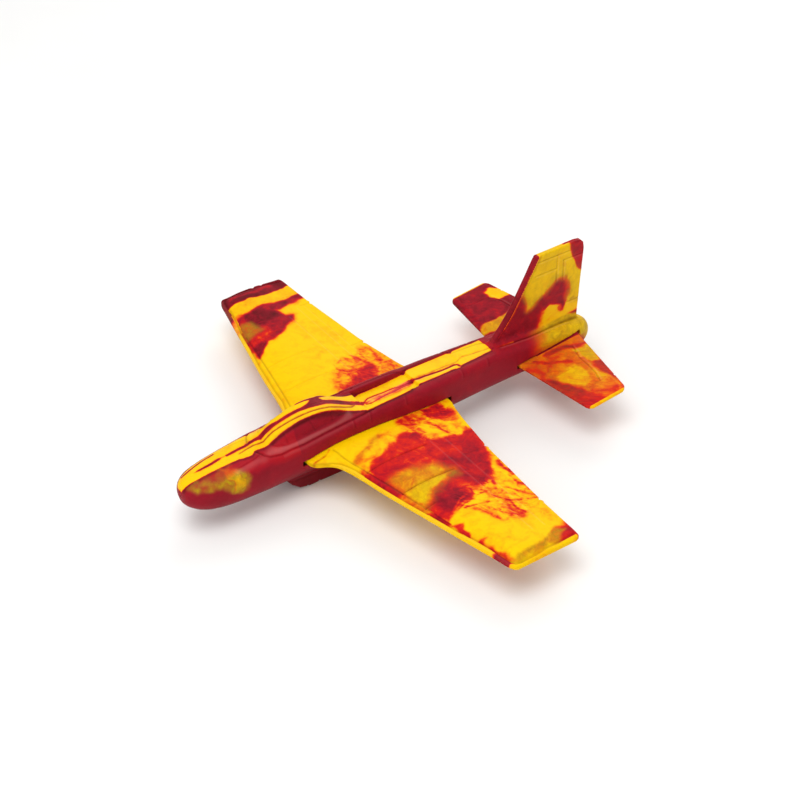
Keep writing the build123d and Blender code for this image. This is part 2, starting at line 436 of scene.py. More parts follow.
def surface_nets(field, origin, pitch):
    """Vertices, quads and grid cells of the zero surface of a sampled field."""
    solid = field < 0
    size = [count - 1 for count in field.shape]
    count = np.zeros(size, np.int8)
    for i, j, k in np.ndindex(2, 2, 2):
        count += solid[i : size[0] + i, j : size[1] + j, k : size[2] + k]
    active = (count > 0) & (count < 8)
    cells = np.argwhere(active)
    index = np.full(active.shape, -1, np.int64)
    index[active] = np.arange(len(cells))
    total, crossings = np.zeros((len(cells), 3)), np.zeros(len(cells))
    for axis in range(3):
        for i, j in np.ndindex(2, 2):
            start = np.insert([i, j], axis, 0)
            end = start.copy()
            end[axis] = 1
            first = field[tuple((cells + start).T)]
            last = field[tuple((cells + end).T)]
            crossed = (first < 0) != (last < 0)
            t = np.where(crossed, first / np.where(first == last, 1, first - last), 0)
            total += (start + t[:, None] * (end - start)) * crossed[:, None]
            crossings += crossed
    verts = np.asarray(origin) + (cells + total / crossings[:, None]) * np.asarray(pitch)
    quads = []
    for axis in range(3):
        low, high = [slice(1, -1)] * 3, [slice(1, -1)] * 3
        low[axis], high[axis] = slice(0, -1), slice(1, None)
        first, last = solid[tuple(low)], solid[tuple(high)]
        crossed = np.argwhere(first != last)
        inside = first[tuple(crossed.T)]
        base = crossed + (np.arange(3) != axis)
        corners = []
        for back_one, back_two in ((1, 1), (0, 1), (0, 0), (1, 0)):
            cell = base.copy()
            cell[:, (axis + 1) % 3] -= back_one
            cell[:, (axis + 2) % 3] -= back_two
            corners.append(index[tuple(cell.T)])
        quad = np.stack(corners, 1)
        quads.append(np.where(inside[:, None], quad, quad[:, ::-1]))
    return verts, np.concatenate(quads), cells


def gradient(field, points, step=0.05):
    slope = np.zeros_like(points)
    for axis in range(3):
        offset = np.zeros(3)
        offset[axis] = step
        ahead, behind = field(*(points + offset).T), field(*(points - offset).T)
        slope[:, axis] = (ahead - behind) / (2 * step)
    return slope


def unit_normal(points):
    slope = gradient(solid_field, points)
    return slope / np.maximum(np.linalg.norm(slope, axis=1), 1e-6)[:, None]


def settle(points, value, slope, least):
    """One bounded Newton step towards the zero surface."""
    square = np.maximum((slope * slope).sum(1), least)
    return points + np.clip(-value / square, -0.3, 0.3)[:, None] * slope


def build_half():
    """Port half of the fuselage, closed by a flat cap on the bond plane."""
    pitch = np.array([0.7, 0.5, 0.55]) * 1.0
    low, high = np.array([-161.0, -0.5 * pitch[1], -24.0]), np.array([125.0, 17.2, 69.0])
    size = np.ceil((high - low) / pitch).astype(int) + 1
    xs, ys, zs = [low[k] + np.arange(size[k]) * pitch[k] for k in range(3)]
    field = np.full(tuple(size), 5.0)
    # above z = 29 only the fin is sampled
    fin_z = int(np.searchsorted(zs, 29.0))
    grid = np.meshgrid(xs, ys, zs[:fin_z], indexing="ij")
    field[:, :, :fin_z] = fuselage_field(*grid)
    fin_x, fin_y = int(np.searchsorted(xs, -78.0)), int(np.searchsorted(ys, 6.0))
    grid = np.meshgrid(xs[:fin_x], ys[:fin_y], zs[fin_z:], indexing="ij")
    field[:fin_x, :fin_y, fin_z:] = fuselage_field(*grid)
    field = np.maximum(field, -ys[None, :, None])
    verts, quads, cells = surface_nets(field, low, pitch)
    cap = cells[:, 1] == 0
    verts[cap, 1] = 0.0
    # settle the free vertices on the true surface
    for _ in range(3):
        free = verts[~cap]
        slope = gradient(fuselage_field, free)
        free = settle(free, fuselage_field(*free.T), slope, 0.2)
        free[:, 1] = np.maximum(free[:, 1], 0.12)
        verts[~cap] = free
    # the cap's rim settles in its plane, drawn in a little for the bond line
    rim = cap & (np.abs(fuselage_field(*verts.T)) < 0.6)
    for _ in range(2):
        edge = verts[rim]
        slope = gradient(fuselage_field, edge + [0, 0.02, 0])
        slope[:, 1] = 0
        verts[rim] = settle(edge, fuselage_field(*edge.T) + 0.16, slope, 0.3)
    return verts, quads, cap


# ------------------------------------------------------ fuselage relief
# side view lines: x, z
WINDOW = path(
    """69.6 17, 65.3 20, 60.2 21.9, 54.8 23.5, 44.4 25.2, 37.8 25.6, 31.2 24.4, 26 22.4,
    20.3 19.7, 27.6 19, 37.4 18, 49.8 16.6, 56.7 15.7, 61.8 15.6, 66.7 16.2"""
)
WINDOW_BARS = ["60.4 23, 59 15", "44.6 26, 41.6 17", "30.4 25.5, 30 18"]
FIN_LINES = [
    "-133 62, -133 45", "-138 57, -138 44", "-119 62, -142 62", "-117 53, -132 53",
    "-138 57, -152 57", "-141 25.5, -151 25.5",
]
RIBS = [
    "19 15.2, 19.3 11.6", "7.6 15.6, 8.2 11", "-16.9 15.4, -16.6 12",
    "-58 15.6, -57.6 12.6", "-77.2 15.8, -76.4 12.2",
]
# lines in space: x, y, z
SHOULDER = path(
    """77.6 4.7 14.6, 75.4 9.8 14.3, 72.7 12.3 13.7, 66.4 13.7 13.4, 60.4 13.6 13.8,
    51.7 13.9 13.9, 38.9 13.4 14.9, 26.2 12.9 15.5, 9.7 12 16, 4.4 11.5 16.1"""
)
SHOULDER_AFT = path(
    """4.4 11.4 16.2, -10 11 16.2, -20 10.6 16.2, -24 9.6 16.2, -27.6 8 16.2,
    -30.5 7.2 16.2, -45 7 16.2, -58 6.8 16.2, -61 6.6 16.2, -72 6.2 16.1,
    -80 5.6 16.1, -86 3.6 16"""
)
SILL = path(
    """72 10.4 15.6, 66 11.8 15.1, 60 12.1 14.9, 50 12.2 15.4, 38 11.9 16.4,
    27 11.2 17.2, 20 10.2 17.8"""
)
NOSE_PANEL = "92 9.7 12.4, 86 9.3 13.2, 80.4 9 14, 77.6 7.8 14.4"
NOSE_GLINT = "93 10.9 11.6, 86 10.9 12.2, 80 10.6 12.6, 76.5 11.4 12.4"
# edges of the yellow spine, port and starboard: x, distance from the middle
PORT_EDGE = path(
    """124 1, 122 2.6, 119 3.1, 115 4, 105 4, 92 4.1, 88 4.4, 86 5.2, 83 5.7, 80.6 6,
    79 4.8, 77.8 3.7, 76 4, 73.6 4.7, 72 5.4, 70 6, 60 6.1, 50 6.3, 45 6.8, 40 7.3,
    35 7.7, 30 8, 20 8.1, 14 8.1, 12 8.6, 10 10, 8 10.9, 0 10.7, -15 10.3, -20 10,
    -22 9.7, -24 9.1, -26 8.2, -28.5 6.6, -31 6.9, -40 7, -50 6.8, -54 6.5, -57 7.2,
    -59.6 7.2, -60.6 6, -66 5.6, -72 5.4, -80 4.9, -84 4.4, -86 3.2, -87 1.2"""
)
STARBOARD_EDGE = path(
    """124 1.4, 122 4.6, 119 6.2, 115 7.5, 111 8.6, 107 9.5, 103 10.3, 97 11.1, 90 11.6,
    80 11.8, 72 11, 66 9.6, 60 9.1, 50 9, 40 8.7, 24 8, 16 7.2, 12 6.6, 8 6, 5 6.4, 2 8,
    -26 8.3, -28.6 8.2, -30 7.3, -32 8.3, -60 8.4, -62.5 6.8, -64.5 8, -76 8, -78 7.6,
    -84 8, -88 5.6, -92 3.4, -94 1"""
)
# dark band along the spine: x, and y of its port and starboard edges
BAND_PORT = path(
    """124 -2, 113 -1.4, 110 -1, 104 -0.9, 100 -1.2, 97 -1.7, 95 -2.3, 92.6 -2.2, 92 -1.9,
    88 -2, 84 -2.2, 80 -2.2, 78 -2.6, 74 -3, 72.4 -2.2, 71 -0.7, 68 -0.7, 61 -0.8,
    54 -0.5, 47 -0.2, 44 0.8, 42 1.2, 40 1.6, 38 2.2, 35 2.6, 30 2.4, 25 2.7, 15 3,
    11 3.4, 9 4.6, 8 5.9, 6 4, 4.5 2, 0 1.4, -10 1, -20 0.6, -30 0.8, -31 0"""
)
BAND_STARBOARD = path(
    """124 -2, 113 -1.5, 110 -2, 104 -2.4, 100 -3, 97 -3.3, 95 -3.3, 92.6 -3, 92 -3.1,
    88 -3.6, 84 -4, 80 -3.8, 78 -4.6, 76 -5, 73.4 -4.9, 71 -3.8, 66 -3.8, 62 -3.6,
    59 -2.7, 54 -2.6, 48 -2.2, 44 -1.7, 40 -2, 38 -3, 35 -5.6, 33 -6, 31.4 -4.6,
    29.6 -1.2, 25 -1.2, 20 -1.7, 15 -1, 11 -0.6, 9 0.6, 8 1.6, 6 0, 4.5 -0.4, 2 0.6,
    -10 0.4, -18 0, -21 -1.3, -29 -1.8, -31 0"""
)
# strength of the dark band: x, strength
BAND_STRENGTH = path(
    """124 0, 114 0, 110 1, 97 0.9, 95 0.35, 92.8 0.3, 92.2 1, 6 1, 4 0.55, 0 0.7,
    -18 0.8, -21 1, -29.6 1, -31 0"""
)
# thin streaks on the spine seen from above: x, y
FORE_STREAK = path(
    """85.6 0.3, 80 -0.3, 76 -0.8, 73 0.3, 71 1.7, 65 1.6, 60 2.2, 56 2.6, 50 3.2,
    45 3.9, 38 5, 32 5.7, 27 5.8, 20 5.5, 15 5, 12.5 3.8"""
)
SHELF_STARBOARD = path(
    """4 0.8, 1.7 -0.8, -0.5 -2, -5.7 -2.2, -10.8 -1.8, -18.1 -1.5, -21.3 -0.6,
    -25.6 -0.1, -29.6 0.7"""
)
SHELF_PORT = path(
    "3 2.4, -0.5 2.6, -5.8 1.7, -10.9 1, -16.2 1.3, -22.1 0.9, -27.3 1.4, -29.6 1.6"
)
AFT_BROAD = path(
    """-30.4 1.3, -33 1.9, -37.3 2, -43.5 2.7, -48.6 3.4, -54.5 3.3, -57.8 3.1,
    -59.4 4.2, -59.8 6"""
)
AFT_FAINT = path(
    """-30.8 0.2, -35.7 0.2, -42.6 0.8, -52 1.2, -60.4 1.6, -62 1.2, -63.4 0.2,
    -66.1 -0.3, -73.5 0.8, -80.6 1.6, -85.9 2.3"""
)
NOSE_STREAK = path("119 -4.8, 115 -5.3, 111 -6.3, 107 -7.4, 103 -8.3, 97 -8.9")
# streak, width, tone, strength
SPINE_STREAKS = [
    (FORE_STREAK, 0.85, 0.75, 0.75),
    (SHELF_STARBOARD, 0.95, 0.85, 0.9),
    (SHELF_PORT, 0.9, 0.8, 0.85),
    (AFT_BROAD, 1.5, 0.98, 1.0),
    (AFT_FAINT, 0.9, 0.46, 0.6),
    (NOSE_STREAK, 1.1, 1.1, 1.0),
]
STARBOARD_BLOB = """45.5 -6.2, 40 -5.3, 35 -4, 31 -4, 28 -5, 25 -6.4, 23 -8, 23 -9.4, 27 -9.4,
    30 -7, 33 -6, 38 -6.4, 44 -7.2"""
# painted areas in side view: x, z
NOSE_OLIVE = """121 8.6, 115 10.4, 110 10.8, 106 11.2, 101 11.9, 94 12.5, 91.5 11.4, 88 10.6,
    86.5 8, 88 5, 90 1, 93 0.2, 97 2, 101 4.6, 104 6.8, 110 7.2, 117 7"""
STARBOARD_PATCH = "70 -8, 62 4, 46 9, 28 7, 22 -2, 34 -8, 52 -11"
TAIL_YELLOW = """-114 9, -118 13, -122 18.5, -141 18.5, -152 14, -162 14, -162 -14,
    -154.5 -5.6, -151 0.4, -148.4 2.6, -146 6, -143 7.1, -135 6.6, -125 5.3, -120 4.6"""
FIN_UPPER = """-103 45, -105 42.5, -107.9 43.6, -110.2 39.5, -112.5 31, -116.7 32.4,
    -121.7 36.4, -127.7 40.2, -131.6 44.4, -136 45.6, -140.4 44, -142.6 39.6, -143.8 35,
    -142.9 31, -141.6 27.5, -148 25, -156 24, -156 48, -151.5 50, -147.8 52, -145.8 56.5,
    -143.8 62.4, -142.4 68.6, -112 68.6"""
FIN_LOWER = """-129 29.4, -125 26, -123.2 22, -122.4 14, -143 12.6, -156 15.6, -156 30,
    -143 29.5, -140.6 26, -139.4 21.8, -136.9 26.1, -133 28"""
FIN_CORNER = """-141.8 69, -156 69, -156 46, -152.3 45.4, -148.2 49.4, -145.4 54.6,
    -143 61.4"""
FIN_ROOT = "-88 4.4, -96.6 4.9, -109.8 5.1, -118.2 4.6, -133.6 3.3, -141.9 2.9, -150.2 2.7"


def fuselage_relief(verts, outer, side):
    """Presses lines and panels into the outer skin; returns the vertices and line tone, which is
    painted shade in the lines and painted highlight on their lit edges.
    """
    x, y, z = verts.T
    normal = unit_normal(verts)
    up = normal[:, 2]
    profile, plan = verts[:, [0, 2]], verts[:, [0, 1]] * [1, side]
    sunk, tone = np.zeros(len(verts)), np.zeros(len(verts))

    def press(amount, depth, shade=0.0):
        """Sinks the skin and darkens it with painted shade; negative values raise it and lighten it
        with a painted highlight.
        """
        sunk[:] += depth * amount
        tone[:] += shade * amount

    # canopy glazing: one recessed pane a side, with slim bars left standing, painted shade along the
    # pane's sunk edge and painted shadows beside the bars
    edge = outline_distance(x, z, WINDOW)
    flank = sstep(0.0, 2.0, y - 3.5)
    pane = sstep(0.25, -0.65, edge) * flank
    bars = sum(along(profile, bar, 1.3) for bar in WINDOW_BARS)
    bar_shadows = sum(along(profile - [1, 0], bar, 0.9) for bar in WINDOW_BARS)
    press(pane, 0.85)
    press(pane * np.clip(bars, 0, 1), -0.35)
    press(groove(np.abs(edge + 0.3), 1.0) * flank, 0, 0.45)
    press(pane * bar_shadows, 0, 0.35)
    # raised sill under the pane, with a painted highlight on its upward face
    press(along(verts, SILL, 2.4), -0.45)
    press(along(verts, SILL, 4.4) * sstep(0.2, 0.7, up), 0, -0.85)
    # shoulder crease darkened with painted shade and with a painted highlight along its underside,
    # carried aft along the channel edge
    press(along(verts, SHOULDER + [0, 0.9, -1.4], 1.6) * (x < 66), 0, -0.30)
    press(along(verts, SHOULDER, 1.15), 0.75, 0.8)
    press(along(verts, SHOULDER_AFT, 0.95), 0.4, 0.7)
    # painted highlight on the nose top, and painted shade in the nose panel line
    press(along(verts, NOSE_GLINT, 3.4), 0, -0.55)
    press(along(verts, NOSE_PANEL, 0.9), 0.35, 0.45)
    # ribs: painted shade in each pressed rib line, with a painted highlight just aft of it
    flank = (normal[:, 1] > 0.12) * sstep(8.0, 10.5, y)
    for rib in RIBS:
        press(along(profile, rib, 0.9) * flank, 0.3, 0.4)
        press(along(profile - [0.9, 0], rib, 0.8) * flank, 0, -0.16)
    # spine: the dark streaks lie a little low and take painted shade, the yellow strips stand proud
    top = sstep(0.45, 0.8, up) * (z > 9) * (x > -86)
    streaks = sum(along(plan, line, 0.9) for line in (FORE_STREAK, SHELF_STARBOARD, SHELF_PORT))
    streaks = streaks + along(plan, AFT_BROAD, 1.5) + 0.55 * along(plan, AFT_FAINT, 1.0)
    press(np.clip(streaks, 0, 1) * top, 0.4, 0.62)
    # painted highlight on a lip beside the broad streak, and a painted sheen on the lower shelf
    press(along(plan - [0, 1.25], AFT_BROAD[:-2], 1.0) * top * (side > 0), 0, -0.8)
    shelf = sstep(3.0, -1.0, x) * sstep(-30.0, -26.0, x)
    shelf = shelf * sstep(-2.6, -1.2, side * y) * sstep(3.0, 1.4, side * y)
    press(shelf * top, 0, -0.9)
    # raised port strip, ending in a step, and the raised rims of the shelf
    strip = sstep(-61.2, -60.2, x) * sstep(-30.0, -31.0, x)
    strip = strip * sstep(3.9, 4.6, y) * sstep(7.4, 6.8, y)
    press(top * strip * (side > 0), -0.3)
    shelf_rim = sstep(12.0, 10.0, x) * sstep(-30.0, -24.0, x) * sstep(8.6, 9.1, y)
    press(top * shelf_rim, -0.4)
    # fin: panel lines darkened with painted shade, each with a painted highlight on its lit edge,
    # and a shaded line set in from the leading edge
    fin = (z > 17.5) * (x < -84)
    for line in FIN_LINES:
        press(along(profile, line, 0.9) * fin, 0.34, 0.55)
        press(along(profile + [1.0, 0.8], line, 0.9) * fin, 0, -0.6)
    inset = groove(np.abs(line_distance(profile, FIN_LEADING) - 3.0), 0.9) * fin
    press(inset * sstep(0.0, -1.0, outline_distance(x, z, FIN)), 0.25, 0.5)
    # root of the fin, darkened with painted shade, with a painted highlight on the edge outside it
    root = y - lerp(x, FIN_ROOT)
    front = (z > 11.0) * sstep(-88.0, -91.0, x) * sstep(0.2, 0.45, up)
    press(groove(np.abs(root), 1.25) * front * sstep(-152.5, -149.0, x), 0.5, 0.95)
    press(groove(np.abs(root - 1.5), 1.2) * front * sstep(-146.0, -140.0, x), 0, -0.5)
    # scoop: two shallow notches and a lip line
    for notch_x in (39.6, 47.4):
        notch = groove(np.abs(x - notch_x), 1.1) * (z < -12.5)
        press(notch * sstep(-19.0, -21.5, z) * sstep(5.5, 7.5, y), 0.5)
    press(along(profile, "60.6 -12.4, 57.2 -13.6, 40 -14, -10 -13.6", 0.9) * (y > 6), 0.3)
    # hand-pressed unevenness of soft foam
    press(vnoise(verts, 9.0), -0.07)
    press(vnoise(verts + 31.0, 3.2), -0.035)
    verts = verts - normal * (sunk * outer)[:, None]
    verts[:, 1] = np.where(outer > 0, np.maximum(verts[:, 1], 0.1), verts[:, 1])
    return verts, tone * outer


# The marbling of every foam piece is held in vertex attributes: guide runs from yellow
# at 0 to dark red at 1; amp is how far noise moves it; olive mixes in pressed layers;
# vein adds thin dark seams.
def fin_paint(verts, side):
    x, z = verts[:, 0], verts[:, 2]
    profile = verts[:, [0, 2]]
    warped_x, warped_z = x + 1.1 * vnoise(verts + 5.0, 4.5), z + 1.1 * vnoise(verts + 11.0, 4.5)
    if side < 0:
        warped_x, warped_z = warped_x - 4.0, warped_z * 1.05 - 4.0
    warped = np.stack([warped_x, warped_z], 1)
    upper = 0.02 + 0.12 * fbm(verts + 50.0, 11.0)
    lower = 0.06 + 0.1 * fbm(verts + 70.0, 8.0)
    guide = lay(
        0.88 + 0.1 * fbm(verts, 14.0),
        warped,
        [
            ("fill", upper, 2.4, 1, FIN_UPPER),
            ("fill", lower, 1.3, 1, FIN_LOWER),
            ("fill", 0.80, 1.3, 1, FIN_CORNER),
        ],
    )
    guide = lay(
        guide,
        profile,
        [
            ("line", 0.98, 3.2, 0.8, "-144.5 15.2, -150 16"),
            ("line", 0.36, 3.4, 0.9, "-124 25.9, -122.6 20, -121 14.5"),
        ],
    )
    guide = lay(
        guide,
        warped,
        [
            ("line", 0.55, 3.2, 0.7, "-140.5 44, -141.6 36, -140.2 27"),
            ("line", 0.52, 2.0, 0.8, "-136.5 24.5, -138.4 21.5"),
        ],
    )
    # the first line, yellow and set 2.7 in from the leading edge, is a painted highlight on the lit
    # lip of the pressed line there
    guide = lay(
        guide,
        profile,
        [
            ("line", 0.16, 1.3, 0.9, FIN_LEADING[1:] - [2.7, 0]),
            ("line", 0.2, 1.2, 0.8, "-90.6 20.4, -95.2 25.6"),
        ],
    )
    # the layers are smeared together along the border: olive on the yellow side
    mask = within(warped, FIN_UPPER, 3.5, 2.0)
    olive = (0.40 + 0.5 * fbm(verts * [1.0, 1.0, 0.45] + 90.0, 9.0)) * mask
    border = 1 - within(warped, FIN_UPPER, 1.0, 5.0)
    olive = olive + 0.5 * mask * border * (z < 50)
    olive = olive * (1 - 0.8 * within(warped, FIN_CORNER, 1.0, 1.0))
    # plain dark strip down the leading edge
    leading = line_distance(profile, FIN_LEADING)
    olive = olive * sstep(1.9, 3.2, leading)
    return np.where(leading < 1.9, mix(guide, 0.98, 0.95), guide), olive


def fuselage_paint(verts, up, side):
    """Guide, amp and olive for one half; up is the normal's z, side +1 for port."""
    x, outward, z = verts.T
    y = outward * side
    wobble = 0.35 * vnoise(verts, 5.0) + 0.2 * vnoise(verts + 9.0, 1.9)
    plan = np.stack([x, y], 1)
    # flank: painted shade darkens it low down and darkens the scoop under the wing further; a
    # painted highlight lightens the upper nose
    guide = 0.91 + 0.10 * sstep(-2.0, -9.0, z) + 0.05 * fbm(verts, 22.0)
    guide = guide - 0.10 * sstep(7.0, 12.0, z) * (x > 55)
    guide = np.where(z < -12.8, 1.12 + 0.1 * fbm(verts, 12.0), guide)
    amp, olive = 0.09, 0.0
    # marbled patch: by the nose to port, amidships to starboard
    warped_x, warped_z = x + 1.2 * vnoise(verts + 3.0, 4.0), z + 0.9 * vnoise(verts + 7.0, 3.0)
    warped = np.stack([warped_x, warped_z], 1)
    if side > 0:
        weight = within(warped, NOSE_OLIVE, 2.0, 2.2) * (outward > 4)
        core = sstep(6.0, 0.5, np.hypot((warped_x - 96.5) / 1.2, warped_z - 12.0))
        core = core + 0.8 * sstep(6.5, 1.0, np.hypot(warped_x - 93.5, warped_z - 6.0))
        core = sstep(0.36, 0.60, core + 0.35 * vnoise(verts + 21.0, 2.6))
        guide = mix(guide, 0.86 - 0.66 * core, weight)
        amp = amp + 0.06 * weight
        olive = 1.25 * weight * (0.75 + 0.5 * vnoise(verts + 33.0, 2.2))
    else:
        weight = 0.85 * within(warped, STARBOARD_PATCH, 3.0, 4.0)
        guide = mix(guide, 0.45, weight)
        amp = amp + 0.75 * weight
        olive = 0.45 * weight
    # yellow tail end, redder below the tailplane
    soft = 1.2 + 8.5 * sstep(-136, -118, x) * sstep(1.0, 5.0, z)
    weight = within(np.stack([warped_x, z + 0.4 * wobble], 1), TAIL_YELLOW, soft, soft)
    guide = mix(guide, 0.05, weight)
    amp = mix(amp, 0.34, weight)
    tail_olive = 0.85 * np.sqrt(np.clip(weight, 0, 1)) * sstep(-108.0, -120.0, x)
    olive = np.maximum(olive, tail_olive)
    below = sstep(4.4, 3.4, z) * sstep(-108, -116, x) * sstep(-156, -150, x)
    guide = mix(guide, 0.72, 0.6 * below)
    # spine: where the surface faces up, plus the channel floor and its starboard wall
    port, starboard = lerp(x, PORT_EDGE) - y, lerp(x, STARBOARD_EDGE) + y
    edge = np.where(y > 0, port, starboard)
    top = sstep(0.15, 0.42, up) * (z > 6.5)
    top = np.maximum(top, (z > 5) * (x > 118) * sstep(0.0, 0.3, up))
    floor_area = (x < 10) & (x > -86) & (y < 8.9) & (y > -7.4) & (z > 12.0)
    top = np.maximum(top, floor_area)
    wall = (x < 6.5) & (x > -29.5) & (y < -7.0)
    above = z - lerp(x, "-29.6 13.7, -22 13, -10 12.5, 2 12.7, 5.5 13.4")
    top = np.where(wall, sstep(1.2, 0.5, above), top)
    off_fin = 1 - sstep(17.0, 18.5, z) * (x < -80)
    spine = sstep(-0.35, 0.35, edge + 0.35 * wobble) * top * off_fin
    guide = mix(guide, 0.02 + 0.12 * fbm(verts, 10.0), spine)
    amp = mix(amp, 0.26, spine)
    olive = olive * (1 - spine)
    # painted shade: a dark lip just outside the yellow, the shadow of the red skin's raised edge
    guide = guide + 0.22 * groove(np.abs(edge + 0.9), 1.5) * top * off_fin * (x > -86)
    # dark band and its halo
    depth = smooth_min(lerp(x, BAND_PORT) - y, y - lerp(x, BAND_STARBOARD), 0.4) + 0.3 * wobble
    strength = lerp(x, BAND_STRENGTH)
    band = sstep(-0.35, 0.35, depth) * strength * spine
    shelf = sstep(6.0, -1.0, x) * sstep(-30.0, -26.0, x)
    guide = mix(guide, 0.98 + 0.2 * fbm(verts, 4.0) - 0.45 * shelf, band)
    guide = guide + 0.3 * groove(np.maximum(-depth, 0), 1.3) * (1 - band) * spine * strength
    for line, width, tone, opacity in SPINE_STREAKS:
        weight = along(plan + 0.25 * wobble[:, None], line, width)
        guide = mix(guide, tone, weight * spine * opacity)
    olive = olive + 0.35 * spine * along(plan, FORE_STREAK, 2.2)
    shifted = np.stack([x, y + 0.3 * wobble], 1)
    guide = mix(guide, 1.0, within(shifted, STARBOARD_BLOB, 0.4, 0.4) * spine)
    # orange blush on the lower shelf and behind it
    blush = sstep(4.0, 1.0, x) * sstep(-34.0, -24.0, x)
    blush = blush * sstep(-2.8, 0.0, y) * sstep(4.4, 2.4, y)
    behind = sstep(-30.0, -31.5, x) * sstep(-60.0, -50.0, x)
    behind = behind * sstep(0.2, 0.9, y) * sstep(2.6, 1.8, y)
    blush = (blush + 0.35 * behind) * spine
    guide = np.maximum(guide, mix(guide, 0.30, blush))
    amp = amp + 0.15 * blush
    # yellow wedge beside the front of the fin, to port
    wedge = along(
        plan, "-88.5 3.6, -92.3 4.2, -97 4.4, -100.2 4.5", lerp(x, "-88 1.9, -101 0.9")
    )
    guide = mix(guide, 0.12, wedge * (z > 14.6) * (z < 17.6) * (side > 0))
    fin = sstep(14.6, 16.4, z - 1.2 * sstep(-125, -145, x)) * (x < -84)
    fin_guide, fin_olive = fin_paint(verts, side)
    return mix(guide, fin_guide, fin), mix(amp, 0.26, fin), mix(olive, fin_olive, fin)


def biggest_piece(count, quads):
    """Mask of the vertices in the largest connected piece."""
    label = np.arange(count)
    first, last = quads[:, :3].T.ravel(), quads[:, 1:].T.ravel()
    while True:
        lowest = np.minimum(label[first], label[last])
        merged = label.copy()
        np.minimum.at(merged, first, lowest)
        np.minimum.at(merged, last, lowest)
        merged = merged[merged]
        if (merged == label).all():
            return label == np.bincount(label).argmax()
        label = merged


def fuselage():
    verts, quads, cap = build_half()
    quads = quads[biggest_piece(len(verts), quads)[quads[:, 0]]]
    used = np.unique(quads)
    renumber = np.full(len(verts), -1)
    renumber[used] = np.arange(len(used))
    raw, quads, cap = verts[used], renumber[quads], cap[used]
    skin = solid_field(*raw.T)
    slot = np.minimum(
        outline_distance(raw[:, 0], raw[:, 2], WING_SLOT),
        outline_distance(raw[:, 0], raw[:, 2], TAIL_SLOT),
    )
    outer = sstep(-0.5, -0.1, skin) * (~cap) * sstep(0.1, 1.0, slot)
    # painted shade on the walls inside the wing and tailplane slots
    dark = 0.6 * sstep(-0.4, -1.4, skin) * (slot < 0.6)
    made = []
    for side, name in ((1, "fuselage_left_visual"), (-1, "fuselage_right_visual")):
        verts, line = fuselage_relief(raw, outer, side)
        # the resting face stays flat
        verts[:, 2] = np.where(verts[:, 2] < -22.45, SCOOP_FLOOR, verts[:, 2])
        guide, amp, olive = fuselage_paint(verts, unit_normal(verts)[:, 2], side)
        # wear follows the slot lips and the bond line
        wear = sstep(0.9, 0.2, np.abs(slot)) + sstep(1.2, 0.3, verts[:, 1]) * 0.5
        attributes = {
            "guide": guide, "amp": amp, "olive": olive, "dark": dark,
            "wear": wear, "line": line, "vein": np.zeros(len(verts)),
        }
        faces = quads if side > 0 else quads[:, ::-1]
        made.append(make_mesh(name, verts * [1, side, 1], faces, attributes))
    return made


# ------------------------------------------------------- wing, tailplane
TIP_INSETS = [0.0, 0.08, 0.3, 0.65, 1.05, 1.5]
EDGE_INSETS = np.array([0.0, 0.08, 0.28, 0.6, 1.0, 1.5])


def quarter_round(inset, radius):
    """Fall of a rounded edge at a given inset from it."""
    short = np.clip(radius - inset, 0, radius)
    return radius - np.sqrt(np.maximum(radius * radius - short * short, 0))


